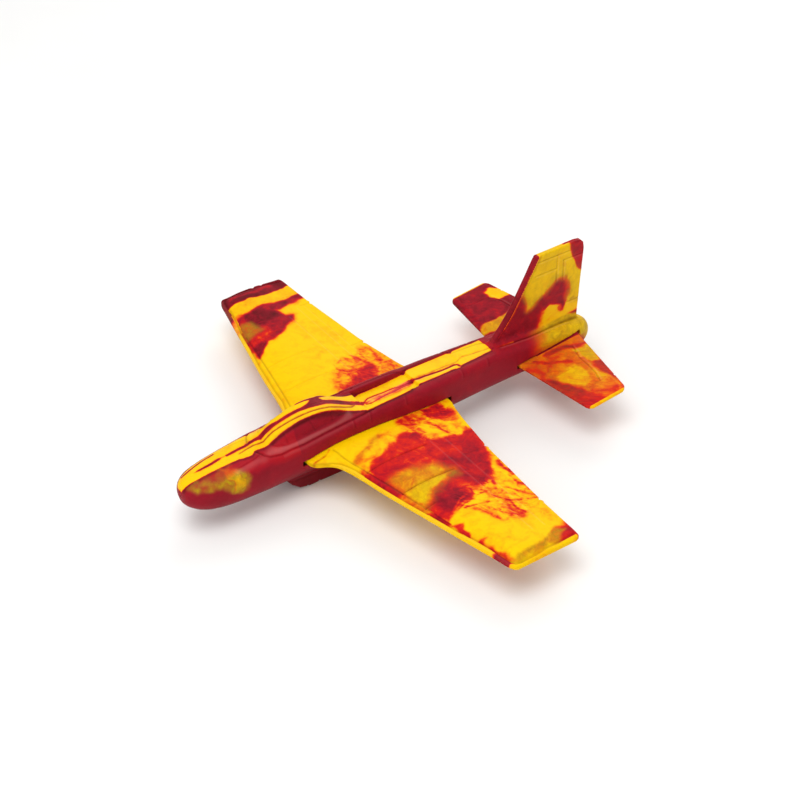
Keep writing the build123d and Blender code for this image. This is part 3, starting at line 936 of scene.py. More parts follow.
def plate(name, leading, trailing, half, top_count, bottom_count, step,
          height, top_radius, bottom_radius, notch, paint, place):
    """Closed plate: fine relief on top, coarser flat underside, rounded rims.

    height, notch and paint give its relief, edge notches and marbling in its own plane;
    place moves the finished vertices to the datum.
    """
    ratio = (top_count - 1) // (bottom_count - 1)
    spans = [half - inset for inset in TIP_INSETS]
    spans += list(np.linspace(half - 2.0, 0, int((half - 2.0) / step) + 1))
    spans = np.array(spans)
    spans = np.concatenate([-spans, spans[::-1][1:]])
    front, rear = leading(np.abs(spans))[:, None], trailing(np.abs(spans))[:, None]
    first, last = front - EDGE_INSETS[-1], rear + EDGE_INSETS[-1]
    parts = np.linspace(0, 1, top_count - 2 * len(EDGE_INSETS) + 2)[1:-1]
    x = np.hstack(
        [front - EDGE_INSETS, first + (last - first) * parts, (rear + EDGE_INSETS)[:, ::-1]]
    )
    y = np.repeat(spans[:, None], top_count, 1)
    inset = np.minimum(np.minimum(front - x, x - rear), half - np.abs(y))
    z, line = height(x, y, inset)
    z = z - quarter_round(inset, top_radius)
    x, y = notch(x, y, inset)
    top = np.stack([x, y, z], -1).reshape(-1, 3)
    bottom_z = quarter_round(inset[:, ::ratio], bottom_radius)
    bottom = np.stack([x[:, ::ratio], y[:, ::ratio], bottom_z], -1).reshape(-1, 3)
    verts = np.concatenate([top, bottom])

    over = np.arange(len(top)).reshape(len(spans), top_count)
    under = len(top) + np.arange(len(bottom)).reshape(len(spans), bottom_count)

    def quads(*corners):
        return np.stack(corners, -1).reshape(-1, 4).tolist()

    faces = quads(over[1:, :-1], over[1:, 1:], over[:-1, 1:], over[:-1, :-1])
    faces += quads(under[:-1, 1:], under[1:, 1:], under[1:, :-1], under[:-1, :-1])
    for j in range(len(spans) - 1):
        faces.append([under[j, 0], under[j + 1, 0], over[j + 1, 0], over[j, 0]])
        faces.append([under[j + 1, -1], under[j, -1], over[j, -1], over[j + 1, -1]])
    for j in (0, -1):
        for i in range(bottom_count - 1):
            run = over[j, ratio * i : ratio * (i + 1) + 1][::-1]
            face = [*run, under[j, i], under[j, i + 1]]
            faces.append(face[::-1] if j == 0 else face)

    is_top = np.concatenate([np.ones(len(top)), np.zeros(len(bottom))])
    insets = np.concatenate([inset.ravel(), inset[:, ::ratio].ravel()])
    attributes = paint(verts, is_top)
    attributes["dark"] = np.zeros(len(verts))
    attributes["line"] = np.concatenate([line.ravel(), np.zeros(len(bottom))])
    attributes["wear"] = sstep(1.4, 0.2, insets)
    return make_mesh(name, place(verts), faces, attributes)


def drift(points, size, scale, fine_size, fine_scale):
    """Noise shifts across the span and along the chord, at two scales."""
    chord, span = [
        size * vnoise(points + seed, scale) + fine_size * vnoise(points + seed + 5.0, fine_scale)
        for seed in (3.0, 13.0)
    ]
    return span, chord


def two_faces(top, under, cover):
    """Marbling attributes: top where cover is 1, under where it is 0."""
    names = ("guide", "amp", "olive", "vein")
    return {name: mix(low, high, cover) for name, high, low in zip(names, top, under)}


# Lines and outlines on the wing and tailplane: distance from the middle, x
# pressed line that sets the wing's plain rim off from its crowned panel
CREASE = path(
    """18 51.6, 20 50, 22 46, 25 41, 28 38, 32 36, 38 34, 50 32.2, 75 27, 100 20.7,
    110 18.5, 120 15.4, 130 13, 145 10, 147.6 8.6, 148.5 6, 148.3 -5, 147.4 -12,
    147.6 -20, 146.4 -31"""
)
CREASE_LEADING = CREASE[:15]
PANEL = path("18 36, 30 33.5, 43 30.5, 70 25, 100 19.3, 104 18.6")
# folds of red drawn out in the yellow of the port wing
LONG_FOLD = path(
    "100.4 13, 97.6 5.1, 94.7 -6.1, 94.5 -15.2, 97.2 -23.7, 104.7 -30, 111.3 -34.3"
)
OUTER_FOLD = path("100.3 5.2, 101.4 -2.2, 103.2 -9.8, 105.9 -16.9, 109.5 -24.6, 112.9 -32.7")
ROOT_FOLD = path("20.2 53.2, 19.3 47.8, 18.7 41.9, 16 37.9")
CORNER_FOLD = path("23.1 52.5, 26 48, 26.6 43.2, 31 39.9")
INNER_FOLD = path("33.8 30.4, 30.2 22.8, 25 13.2, 23.4 9")
# line, tone, width
PANEL_FOLDS = [
    ("100.6 17, 96.8 10.3, 92.8 3, 90.9 -4.2, 90.5 -10.4, 89.3 -15.3", 0.46, 1.1),
    (LONG_FOLD, 0.62, 1.2),
    (OUTER_FOLD, 0.55, 1.4),
    ("103.8 1.1, 107 0.2, 110.9 -1, 115 -2.8, 118.9 -4.6, 118.4 -11.7, 112.6 -14.7", 0.50, 2.2),
    ("86.4 -22.7, 92.5 -19.8, 99.3 -19.7, 108.3 -16.5, 114 -15.1", 0.54, 1.8),
    ("92.6 -13.4, 99.8 -14, 104.2 -19.6, 111.8 -18.3, 119 -20", 0.58, 1.6),
    ("95 -21, 99 -25, 103 -25.5", 0.50, 2.4),
    ("108 -3, 110.5 -9, 115 -11.5", 0.42, 2.6),
]
AFT_ROOT_FOLDS = [
    ("14.6 -10, 22 -12, 28 -17, 31.5 -26, 30 -36", 0.58, 2.0),
    ("18 -27, 24 -22, 33 -21, 40 -24", 0.60, 2.2),
]
# pressed lines: line, height (+ raised), width, tone (+ dark painted shade, - painted highlight)
PORT_LINES = [
    ("43.5 31, 43.6 -9", -0.42, 1.0, 0.55),
    ("69.5 25, 69.4 -9", -0.48, 1.1, 0.7),
    ("86.5 22, 86.4 16", -0.36, 1.0, 0.6),
    ("42 -12.6, 133 -13.6", 0.26, 1.0, -0.62),
    ("45 -21.4, 133 -21.8", 0.26, 1.0, -0.62),
    ("45 -15.4, 133 -15.8", -0.12, 0.8, 0.14),
    ("61.5 -24, 61.2 -38", -0.22, 0.9, 0.3),
    ("114.6 -23, 114.5 -33", -0.22, 0.9, 0.3),
    (ROOT_FOLD[:3], -0.28, 1.0, 0.42),
    (CORNER_FOLD, -0.22, 0.9, 0.36),
    (LONG_FOLD[:5], -0.2, 1.0, 0.16),
    (OUTER_FOLD[:5], -0.16, 1.0, 0.12),
]
STARBOARD_LINES = [
    ("43.5 30, 43.6 -8", -0.25, 0.9, 0.18),
    ("69.5 24.5, 69.4 -10", -0.25, 0.9, 0.18),
    ("96.5 18, 96.5 0", -0.25, 0.9, 0.3),
    ("40 -13.2, 106 -13.4", 0.26, 1.0, -0.5),
    ("42 -23, 112 -23.2", 0.26, 1.0, -0.5),
    ("52 -28.4, 112 -28.2", 0.2, 0.9, -0.4),
    ("61.5 -28, 61.2 -38", -0.22, 0.9, 0.25),
    ("114.6 -27, 114.5 -33", -0.22, 0.9, 0.25),
]


def wing_height(x, y, inset):
    span = np.abs(y)
    shape = x.shape
    leading = wing_leading(span)
    part = (leading - x) / (leading - wing_trailing(span))
    z = RIM + (wing_crown(span) - RIM) * wing_profile(part)
    where = np.stack([span, x], -1).reshape(-1, 2)
    exposed = (span > 16.5).astype(float)
    crease = line_distance(where, CREASE).reshape(shape)
    # painted shade in the crease and in the panel line
    z -= 0.62 * groove(crease, 1.5) * exposed
    line = 0.55 * groove(crease, 1.1) * exposed
    # lit bead on the rim ahead of the crease
    bead = groove(np.abs(x - lerp(span, CREASE_LEADING) - 1.6), 1.3)
    line -= 0.25 * bead * exposed * (span < 147)
    panel = line_distance(where, PANEL).reshape(shape)
    z -= 0.34 * groove(panel, 1.0) * exposed
    line += 0.6 * groove(panel, 0.9) * exposed
    for side, lines in ((1, PORT_LINES), (-1, STARBOARD_LINES)):
        for points, rise, width, tone in lines:
            amount = along(where, points, width).reshape(shape) * (y * side > 16.5)
            z += rise * amount
            line += tone * (0.55 if tone < 0 else 1.0) * amount
    points = np.stack([x, y, z], -1).reshape(-1, 3)
    uneven = (0.07 * vnoise(points, 11.0) + 0.03 * vnoise(points + 5.0, 3.5)).reshape(shape)
    z += uneven * exposed * sstep(0.3, 2.0, inset)
    return np.minimum(z, CROWN_LIMIT), line


def wing_notch(x, y, inset):
    near_edge = np.exp(-np.maximum(inset, 0) / 1.2) * (np.abs(x - wing_trailing(np.abs(y))) < 6)
    for span, depth in ((60.4, 1.5), (114.2, 1.3)):
        x = x + depth * groove(np.abs(np.abs(y) - span), 1.5) * near_edge
        x = x - 0.5 * groove(np.abs(np.abs(y) - span - 2.2), 1.6) * near_edge
    # the starboard tip is pressed in at its corners: amount, x where it starts, x at full
    for amount, start, end in ((1.6, -14.0, -31.0), (1.3, -6.0, 9.5)):
        near_tip = (y < -138) * sstep(138, WING_HALF, np.abs(y))
        y = y + near_tip * amount * sstep(start, end, x)
    for notch_x in (-13.0, -19.0):
        near_tip = np.exp(-(WING_HALF - np.abs(y)) / 1.6) * (y < -144)
        y = y + 1.5 * groove(np.abs(x - notch_x), 1.9) * near_tip
    return x, y


# kind, tone, edge softness or line width, strength, points
PORT_RED = path(
    """43 30, 40 25, 37 18, 33 10, 30 2, 29 -5, 32 -10, 40 -12, 43 -20, 44 -30, 43 -37,
    50 -42, 66 -36, 70 -36, 76 -30, 82 -25, 86 -18, 89 -10, 92 -3, 95 5, 98 12, 103 19,
    90 23, 70 27, 55 31"""
)
PORT_BASE = [
    ("fill", 0.16, 4.0, 1, "38 34, 34 26, 24 12, 20 2, 26 -8, 40 -18, 60 -16, 50 34"),
    ("fill", 0.69, 2.4, 1, PORT_RED),
    ("fill", 0.76, 3.0, 0.9, "46 28, 60 26, 59 4, 46 0"),
    ("fill", 0.62, 4.0, 0.9, "36 14, 60 14, 60 -10, 36 -10"),
    ("fill", 0.80, 3.0, 0.95, "60 -5, 85 -5, 84 -26, 72 -32, 58 -32"),
    ("fill", 0.84, 2.6, 0.95, "82 16, 97 14, 96 0, 90 -6, 82 -4"),
    ("fill", 0.34, 3.6, 1, "57 24, 70 25, 71 2, 69 -8, 61 -3, 57 6, 55 15"),
    ("fill", 0.03, 2.8, 1, "69 24, 84 21, 83 16, 77 8, 75.5 -2, 71 -5"),
    ("line", 0.30, 8.0, 0.85, "86 -6, 94 -13, 104 -17, 114 -15, 121 -17"),
    ("line", 0.30, 5.0, 0.85, "84 -24, 92 -28, 104 -30"),
    ("line", 0.66, 3.0, 0.85, "76 -35.5, 82 -33.5, 90 -34.5"),
    ("line", 0.50, 2.0, 0.85, "89 -31.4, 98 -33.4, 107 -34.2"),
]
# band inside the port tip: olive-orange painted shade where the tip's top slopes down
PORT_TIP_BAND = "145.6 9, 147.4 6, 147 -20, 140 -29, 138.4 -24, 141.4 -16, 143 -6, 143.4 4"
# mottle at the root, then marks near the tip
PORT_MOTTLE = [
    ("fill", 0.32, 3.0, 0.9, "14 -7, 26 -7, 34 -12, 40 -16, 41 -30, 30 -40, 14 -44"),
    ("fill", 0.68, 2.6, 0.9, "14 -26, 24 -25, 28 -32, 24 -39, 14 -39"),
    ("fill", 0.60, 2.0, 0.7, "16 -8, 24 -10, 26 -18, 17 -19"),
    ("fill", 0.06, 2.4, 0.8, "28 -14, 36 -16, 40 -30, 33 -34, 27 -26"),
    ("line", 0.62, 2.6, 0.7, "18 -20, 26 -23, 33 -24, 40 -26"),
    ("line", 0.30, 3.4, 0.8, "36 31, 30 23, 24 14"),
    ("fill", 0.70, 2.4, 1, "141 -19, 148.5 -18.5, 149 -36, 136 -36, 137.4 -28"),
    ("fill", 0.34, 1.6, 0.95, PORT_TIP_BAND),
    ("fill", 0.16, 3.0, 0.7, "118 -30, 134 -24, 134 -35, 120 -36"),
]
# red let into the panel along the crease, outboard
PORT_CREASE = [
    ("fill", 0.62, 1.2, 0.95, "106 19.5, 109 12.5, 112 14.5, 116 13, 119 14, 122.6 16"),
    ("fill", 0.42, 1.2, 0.9, """123 16, 125.5 10, 128 12.4, 132 9.6, 136 11, 140 7.6,
        145.4 8.4, 146 11, 134 13"""),
    ("line", 0.66, 1.6, 0.7, "126 13.6, 134 11.8, 144 9.6"),
]
STARBOARD_DARK = path(
    """80 25, 92 22, 108 19, 122 16, 123 10, 125.5 0, 125 -12, 128 -35, 121 -36, 120 -20,
    117 -10, 110 -11, 107 -16, 102 -10, 97 -5, 92 3, 90 10, 86 15"""
)
STARBOARD_MARKS = [
    ("fill", 0.30, 4.0, 1, "23 6, 30 5, 40 -2, 50 -16, 52 -30, 44 -37, 26 -38, 20 -20"),
    ("fill", 0.62, 2.6, 1, """24 1, 27 -1, 30 -7, 34 -15, 41 -21, 43 -27, 40 -30, 34 -29,
        28 -25, 22 -24, 18 -10"""),
    ("fill", 0.28, 3.0, 0.9, "27 -29, 58 -29, 58 -38, 27 -43"),
    ("line", 0.46, 2.4, 0.7, "36 -33, 46 -36, 54 -36"),
    ("fill", 0.36, 2.6, 0.9, """76 26, 90 22, 90 4, 98 -9, 107 -21, 112 -13, 118 -10,
        118 -30, 130 -36, 129 0, 126 17"""),
    ("fill", 0.88, 1.6, 1, STARBOARD_DARK),
    ("fill", 0.62, 2.0, 0.8, "92 20, 106 17, 106 4, 98 2, 93 10"),
    ("fill", 0.58, 2.0, 0.6, "102 18, 115 17, 115 10, 103 9"),
    ("fill", 1.12, 2.4, 0.8, "108 10, 124 9, 124 -6, 112 -8"),
    ("fill", 0.10, 1.0, 0.95, "126 17, 135.5 15, 136.6 -36, 127 -36"),
    ("fill", 1.06, 0.9, 1, "136.6 16, 152 14, 152 -36, 137.2 -36"),
    ("fill", 0.66, 0.8, 0.6, "142 8, 145.5 8, 145.5 -24, 143 -24"),
]
# areas: value, outer and inner edge, outline
PORT_SMEAR = "57 24, 87 22, 82 14, 77 2, 75 -8, 69 -9, 61 -4, 56 8"
PORT_AMP = [
    (0.36, 4.5, 3.0, PORT_SMEAR),
    (0.22, 3.0, 3.0, PORT_RED),
    (0.46, 4.0, 3.0, "86 0, 120 0, 122 -35, 76 -37"),
    (0.52, 4.0, 3.0, "14 -4, 43 -6, 44 -38, 14 -44"),
]
# the port tip band's olive is painted shade
PORT_OLIVE = [(0.62, 4.5, 3.0, PORT_SMEAR), (0.9, 1.8, 1.2, PORT_TIP_BAND)]
STARBOARD_OLIVE = [
    (0.7, 3.6, 2.4, "102 20, 115 18, 114 9, 104 7"),
    (0.12, 1.0, 1.0, "126 17, 136 15, 137 -36, 127 -36"),
]
# tone between crease and panel line, and on the rim of each wing: span, tone
PORT_STRIP = "38 0.06, 43 0.5, 46 0.9, 68 0.86, 72 0.36, 90 0.3, 93 0.9, 103 0.86, 106 0.2"
PORT_RIM = "100 0.02, 134 0.04, 136.6 0.88, 146 0.9, 147 0.1, 149 0.04"
STARBOARD_RIM = "108 0.03, 112 0.34, 116 0.2, 122 0.42, 126 1.02, 150 1.06"


def port_wing_paint(guide, span, x, points, shift, where):
    crease, panel = lerp(span, CREASE_LEADING), lerp(span, PANEL)
    rim = x > crease + 0.3
    folded = np.stack([span + 0.5 * shift[0], x + 0.5 * shift[1]], 1)
    broken = 0.30 + 0.65 * sstep(-0.25, 0.35, vnoise(points + 61.0, 6.5))
    guide = lay(guide, where, PORT_BASE)
    for line, tone, width in PANEL_FOLDS:
        guide = mix(guide, tone * 0.86, broken * along(folded, line, width * 1.15))
    for line, tone, width in AFT_ROOT_FOLDS:
        guide = mix(guide, tone, broken * along(folded, line, width))
    guide = lay(guide, where, PORT_MOTTLE)
    tip = 0.04 + 0.12 * sstep(-22.0, -30.0, x + shift[1])
    guide = np.where((span > 147.6) & (x > -31.5), tip, guide)
    strip = (x < crease + 0.3) & (x > panel - 0.4) & (span > 24) & (span < 106)
    strip_tone = lerp(span + 2.0 * vnoise(points, 5.0), PORT_STRIP)
    guide = np.where(strip, mix(guide, strip_tone, 0.75), guide)
    guide = lay(guide, where, PORT_CREASE)
    rim_tone = lerp(span + 1.2 * vnoise(points + 4.0, 4.0), PORT_RIM)
    guide = np.where(rim & (span < 150.5), rim_tone, guide)
    amp = np.where(rim, 0.12, lift(0.34, where, PORT_AMP))
    olive = np.where(rim, 0.0, lift(0.0, where, PORT_OLIVE))
    guide = lay(
        guide,
        folded,
        [
            ("line", 0.44, 1.3, 0.9, ROOT_FOLD),
            ("line", 0.46, 1.0, 0.9, CORNER_FOLD),
            ("line", 0.33, 3.4, 0.9, INNER_FOLD),
        ],
    )
    olive = np.maximum(olive, 0.45 * along(folded, INNER_FOLD, 3.0))
    outboard = """88 4, 96 8, 112 -2, 124 -12, 116 -36, 80 -36, 86 -18"""
    vein = 0.22 * within(where, outboard, 5.0, 4.0)
    vein = vein + 0.14 * within(where, "14 -6, 42 -10, 46 -22, 44 -40, 14 -44", 4.0, 4.0)
    return guide, amp, olive, vein


def starboard_wing_paint(guide, span, x, points, where):
    crease = lerp(span, CREASE_LEADING)
    rim = x > crease + 0.3
    guide = lay(guide, where, STARBOARD_MARKS)
    guide = np.where(rim, lerp(span + 1.5 * vnoise(points + 6.0, 4.0), STARBOARD_RIM), guide)
    guide = np.where((np.abs(x - crease) < 0.8) & (span > 110) & (span < 130), 0.22, guide)
    amp = np.where(rim, 0.14, lift(0.272, where, [(0.42, 3.0, 3.0, STARBOARD_DARK)]))
    amp = lift(amp, where, [(0.5, 4.0, 3.0, "14 6, 50 0, 58 -40, 14 -44")])
    olive = lift(0.0, where, STARBOARD_OLIVE)
    vein = 0.10 * within(where, "22 4, 40 -2, 56 -18, 56 -38, 20 -44", 5.0, 4.0)
    return guide, amp, olive, vein


def wing_sheet(y, x, points):
    """Guide, amp, olive and vein of one marbled sheet."""
    span = np.abs(y)
    shift = drift(points, 2.2, 9.0, 1.2, 3.6)
    where = np.stack([span + shift[0] * 0.8, x + shift[1] * 0.8], 1)
    guide = 0.02 + 0.10 * fbm(points, 20.0)
    port = port_wing_paint(guide, span, x, points, shift, where)
    starboard = starboard_wing_paint(guide, span, x, points, where)
    # blend over the root, which is hidden in the slot
    weight = sstep(-6, 6, y)
    return [mix(low, high, weight) for high, low in zip(port, starboard)]


def wing_paint(verts, is_top):
    x, y = verts[:, 0], verts[:, 1]
    # the underside is the same marbled sheet, a few layers further in
    deeper = verts + [40, 0, 60]
    guide, amp, olive, vein = wing_sheet(
        -y * 0.97 + 9.0 * vnoise(deeper + 40.0, 28.0), x + 7.0 * vnoise(deeper, 24.0), deeper
    )
    under = np.minimum(guide * 0.92, 1.0), amp + 0.1, olive, vein
    span = np.abs(y)
    inset = np.minimum(np.minimum(wing_leading(span) - x, x - wing_trailing(span)), WING_HALF - span)
    cover = np.maximum(is_top, sstep(3.4, 1.6, inset + 0.8 * vnoise(deeper, 6.0)))
    return two_faces(wing_sheet(y, x, verts), under, cover)


# The tailplane is built in its own tilted plane, with x chordwise from its pivot.
def tail_corner(y):
    """How far the rounded tip corners draw the edges in."""
    part = np.clip((y - (TAIL_HALF - TAIL_CORNER)) / TAIL_CORNER, 0, 1)
    return TAIL_CORNER * (1 - np.sqrt(np.maximum(1 - part**2, 0)))


def tail_edge(y, ends):
    root, tip = ends
    return tail_chord(root + (tip - root) * np.clip(y, 0, TAIL_HALF) / TAIL_HALF)


def tail_leading(y):
    return tail_edge(y, TAIL_LEADING) - tail_corner(y)


def tail_trailing(y):
    return tail_edge(y, TAIL_TRAILING) + tail_corner(y)


# line, depth, width, tone of painted shade
TAIL_LINES = [
    ("22.9 -133.1, 29.3 -131.5, 37.1 -131, 45.5 -129.9, 53 -127.3", 0.36, 1.0, 0.55),
    ("18 -134.9, 25.1 -133.5", 0.3, 0.9, 0.6),
    ("60 -110.6, 66 -112", 0.2, 1.0, 0.15),
    ("54 -111.5, 53 -125.6", 0.22, 0.8, 0.12),
    ("34 -108, 33 -130", 0.2, 0.8, 0.12),
    ("37.6 -131.4, 38.4 -137.6", 0.3, 0.8, 0.5),
]
# kind, tone, edge softness or line width, strength, points
TAIL_PORT = [
    ("fill", 0.68, 2.8, 0.95, """25.8 -99, 27.8 -105, 34 -107.5, 42 -109.5, 50 -112.5,
        56 -116.5, 63 -120, 68.5 -121, 70 -104, 50 -98"""),
    ("line", 0.88, 3.2, 0.8, "34 -105.5, 44 -108, 52 -112"),
    ("line", 0.58, 3.6, 0.8, "57.5 -119, 61.9 -124, 63.5 -129.4, 66.1 -133.7"),
    ("fill", 0.13, 1.8, 0.95, """34 -110.4, 33 -117, 32.6 -126, 39 -126.8, 48.6 -124,
        51.1 -116.6, 45.6 -112.4, 37.6 -110.2"""),
    ("line", 0.70, 2.4, 0.9, "14 -108, 16.9 -111.4, 22.5 -115.9, 26 -121.1, 29 -125.2"),
    ("line", 0.84, 3.6, 0.9, "13.9 -116.9, 14.9 -123.4, 16.4 -131.8, 18.8 -137.2, 21.6 -143"),
    ("fill", 0.60, 2.2, 0.85, "13.5 -114.8, 16.7 -119.3, 20.1 -124.6, 22.2 -121.6, 21.8 -115.8"),
    ("line", 0.60, 2.4, 0.8, "26.4 -110.7, 24 -114.6, 22.2 -117.4"),
    ("line", 0.66, 4.4, 0.9, "18 -101.8, 20.6 -104.8, 26.2 -106.6"),
    ("line", 0.54, 3.0, 0.6, "14 -104, 20 -108.5, 25 -113.5"),
    ("fill", 0.72, 1.3, 0.95, """36.4 -133.6, 38.4 -141, 57.5 -137.5, 54.2 -133.4,
        45.7 -133.6, 40.7 -132.2"""),
    ("fill", 0.18, 1.2, 0.9, "42.8 -130.9, 56.5 -134.8, 55.5 -128.3, 50.9 -127.1"),
    ("line", 0.24, 2.4, 0.8, "57 -134.4, 62 -134, 66 -131"),
]
TAIL_OLIVE = "22 -134.3, 22 -145, 29 -143.5, 38 -139.4, 35.9 -134.9, 28.7 -133.5"
TAIL_STARBOARD_STRIPE = "25 -100, 33 -104, 33.5 -141, 25 -143"
TAIL_STARBOARD = [
    ("fill", 0.2, 1.0, 1, TAIL_STARBOARD_STRIPE),
    ("fill", 0.02, 1.0, 1, "48 -130, 53 -127, 58 -127, 60 -131, 58 -138, 47 -140"),
]


def tail_height(x, y, inset):
    shape = x.shape
    datum_x = TAIL_PIVOT[0] + x * TILT_COS
    where = np.stack([np.abs(y), datum_x], -1).reshape(-1, 2)
    exposed = (np.abs(y) > 12.0).astype(float)
    z = TAIL_THICKNESS - 0.5 * sstep(4.5, 1.0, inset) * exposed - 0.1 * (1 - exposed)
    line = np.zeros(shape)
    # painted shade in each pressed line, and a painted highlight beside the darker ones
    for points, depth, width, tone in TAIL_LINES:
        amount = along(where, points, width).reshape(shape) * exposed
        z -= depth * amount
        line += tone * amount
        if tone > 0.3:
            line -= 0.5 * along(where + [0, 1.1], points, width).reshape(shape) * exposed
    points = np.stack([datum_x, y, z], -1).reshape(-1, 3)
    uneven = (0.06 * vnoise(points, 9.0) + 0.02 * vnoise(points + 5.0, 3.0)).reshape(shape)
    z += uneven * exposed - 0.06 * exposed
    return np.minimum(z, TAIL_THICKNESS), line


def tail_notch(x, y, inset):
    near_edge = np.exp(-np.maximum(inset, 0)) * (np.abs(x - tail_trailing(np.abs(y))) < 5)
    return x + 0.8 * groove(np.abs(np.abs(y) - 54.0), 1.0) * near_edge, y


def tail_sheet(y, x, points):
    """Guide, amp, olive and vein of one marbled sheet."""
    span = np.abs(y)
    shift = drift(points, 1.6, 6.0, 0.8, 2.6)
    where = np.stack([span + shift[0] * 0.8, x + shift[1] * 0.8], 1)
    port = lay(0.40 + 0.10 * fbm(points, 14.0), where, TAIL_PORT)
    smear = within(where, TAIL_OLIVE, 2.0, 1.4)
    port = mix(port, 0.14, smear)
    olive = np.maximum(0.42, 0.75 * smear)
    olive = olive * sstep(70.0, 50.0, span) * (1 - 0.75 * sstep(0.45, 0.62, port))
    # painted shade: a dark strip at the root, the shadow of the slot against the body
    root = (span > 10) & (span < 11.7) & (x < -113)
    port, olive = np.where(root, 0.98, port), np.where(root, 0.0, olive)
    port = np.where((span > 66.8) & (x < -107), 0.10, port)
    starboard = lay(0.88 + 0.10 * fbm(points + 60.0, 12.0), where, TAIL_STARBOARD)
    starboard = np.where(span > 66.8, 0.05, starboard)
    starboard_olive = 0.7 * within(where, TAIL_STARBOARD_STRIPE, 1.0, 1.0)
    weight = sstep(-6, 6, y)
    pairs = (starboard, port), (0.28, 0.20), (starboard_olive, olive), (0.06, 0.10)
    return [mix(low, high, weight) for low, high in pairs]


def tail_paint(verts, is_top):
    y = verts[:, 1]
    x = TAIL_PIVOT[0] + verts[:, 0] * TILT_COS
    points = np.stack([x, y, verts[:, 2]], 1)
    deeper = points + [25, 0, 90]
    under = tail_sheet(
        -y + 5 * vnoise(deeper, 16.0), x + 4 * vnoise(deeper + 30.0, 16.0), deeper
    )
    span = np.abs(y)
    edges = np.minimum(tail_leading(span) - verts[:, 0], verts[:, 0] - tail_trailing(span))
    cover = np.maximum(is_top, sstep(2.6, 1.2, np.minimum(edges, TAIL_HALF - span)))
    return two_faces(tail_sheet(y, x, points), under, cover)


def tail_place(verts):
    x, z = tail_to_datum(verts[:, 0], verts[:, 2])
    return np.stack([x, verts[:, 1], z], 1)


# -------------------------------------------------------------- materials
def srgb(*levels):
    """Linear colour from 0-255 sRGB levels."""
    parts = [level / 255 for level in levels]
    return (*(c / 12.92 if c <= 0.04045 else ((c + 0.055) / 1.055) ** 2.4 for c in parts), 1.0)


# marbling tone, sRGB colour: yellow through orange and red to nearly black
FOAM_COLOURS = [
    (-0.50, (251, 210, 1)),
    (0.00, (248, 199, 0)),
    (0.15, (246, 184, 2)),
    (0.28, (243, 148, 8)),
    (0.42, (233, 88, 14)),
    (0.56, (216, 34, 22)),
    (0.72, (186, 21, 31)),
    (0.90, (147, 18, 35)),
    (1.05, (121, 14, 28)),
    (1.25, (90, 11, 17)),
    (1.50, (54, 8, 11)),
]
PER_METRE = (1000, 1000, 1000)  # object metres to texture millimetres


class Nodes:
    """Small helper for building a material's nodes."""

    def __init__(self, name):
        self.material = bpy.data.materials.new(name)
        self.material.use_nodes = True
        self.tree = self.material.node_tree
        self.tree.nodes.clear()

    def add(self, kind, inputs=None, **settings):
        """Node with its settings; inputs may be values or sockets to link."""
        node = self.tree.nodes.new(kind)
        for key, value in settings.items():
            setattr(node, key, value)
        for key, value in (inputs or {}).items():
            if hasattr(value, "links"):
                self.tree.links.new(value, node.inputs[key])
            else:
                node.inputs[key].default_value = value
        return node

    def math(self, operation, *values, clamp=False):
        inputs = dict(enumerate(values))
        return self.add("ShaderNodeMath", inputs, operation=operation, use_clamp=clamp).outputs[0]

    def mul_add(self, value, times, plus, clamp=False):
        return self.math("MULTIPLY_ADD", value, times, plus, clamp=clamp)

    def attr(self, name):
        return self.add("ShaderNodeAttribute", attribute_name=name).outputs["Fac"]

    def coords(self):
        return self.add("ShaderNodeTexCoord").outputs["Object"]

    def mapped(self, vector, **inputs):
        inputs = {key.capitalize(): value for key, value in inputs.items()}
        return self.add("ShaderNodeMapping", {"Vector": vector, **inputs}).outputs["Vector"]

    def noise(self, vector, scale, detail, rough, distortion=0.0):
        inputs = {
            "Scale": scale, "Detail": detail, "Roughness": rough,
            "Distortion": distortion, "Vector": vector,
        }
        return self.add("ShaderNodeTexNoise", inputs).outputs["Fac"]

    def mix(self, factor, first, second, blend="MIX"):
        inputs = {"Factor": factor, 6: first, 7: second}
        return self.add("ShaderNodeMix", inputs, data_type="RGBA", blend_type=blend).outputs[2]

    def ramp(self, factor, stops):
        node = self.add("ShaderNodeValToRGB", {0: factor})
        elements = node.color_ramp.elements
        while len(elements) > 1:
            elements.remove(elements[-1])
        elements[0].position, elements[0].color = stops[0]
        for position, colour in stops[1:]:
            elements.new(position).color = colour
        return node.outputs[0]

    def bump(self, height, strength, distance):
        inputs = {"Strength": strength, "Distance": distance, "Height": height}
        return self.add("ShaderNodeBump", inputs).outputs["Normal"]

    def finish(self, inputs):
        """Principled surface with these inputs, wired to the output."""
        surface = self.add("ShaderNodeBsdfPrincipled", inputs).outputs[0]
        self.add("ShaderNodeOutputMaterial", {0: surface})
        return self.material


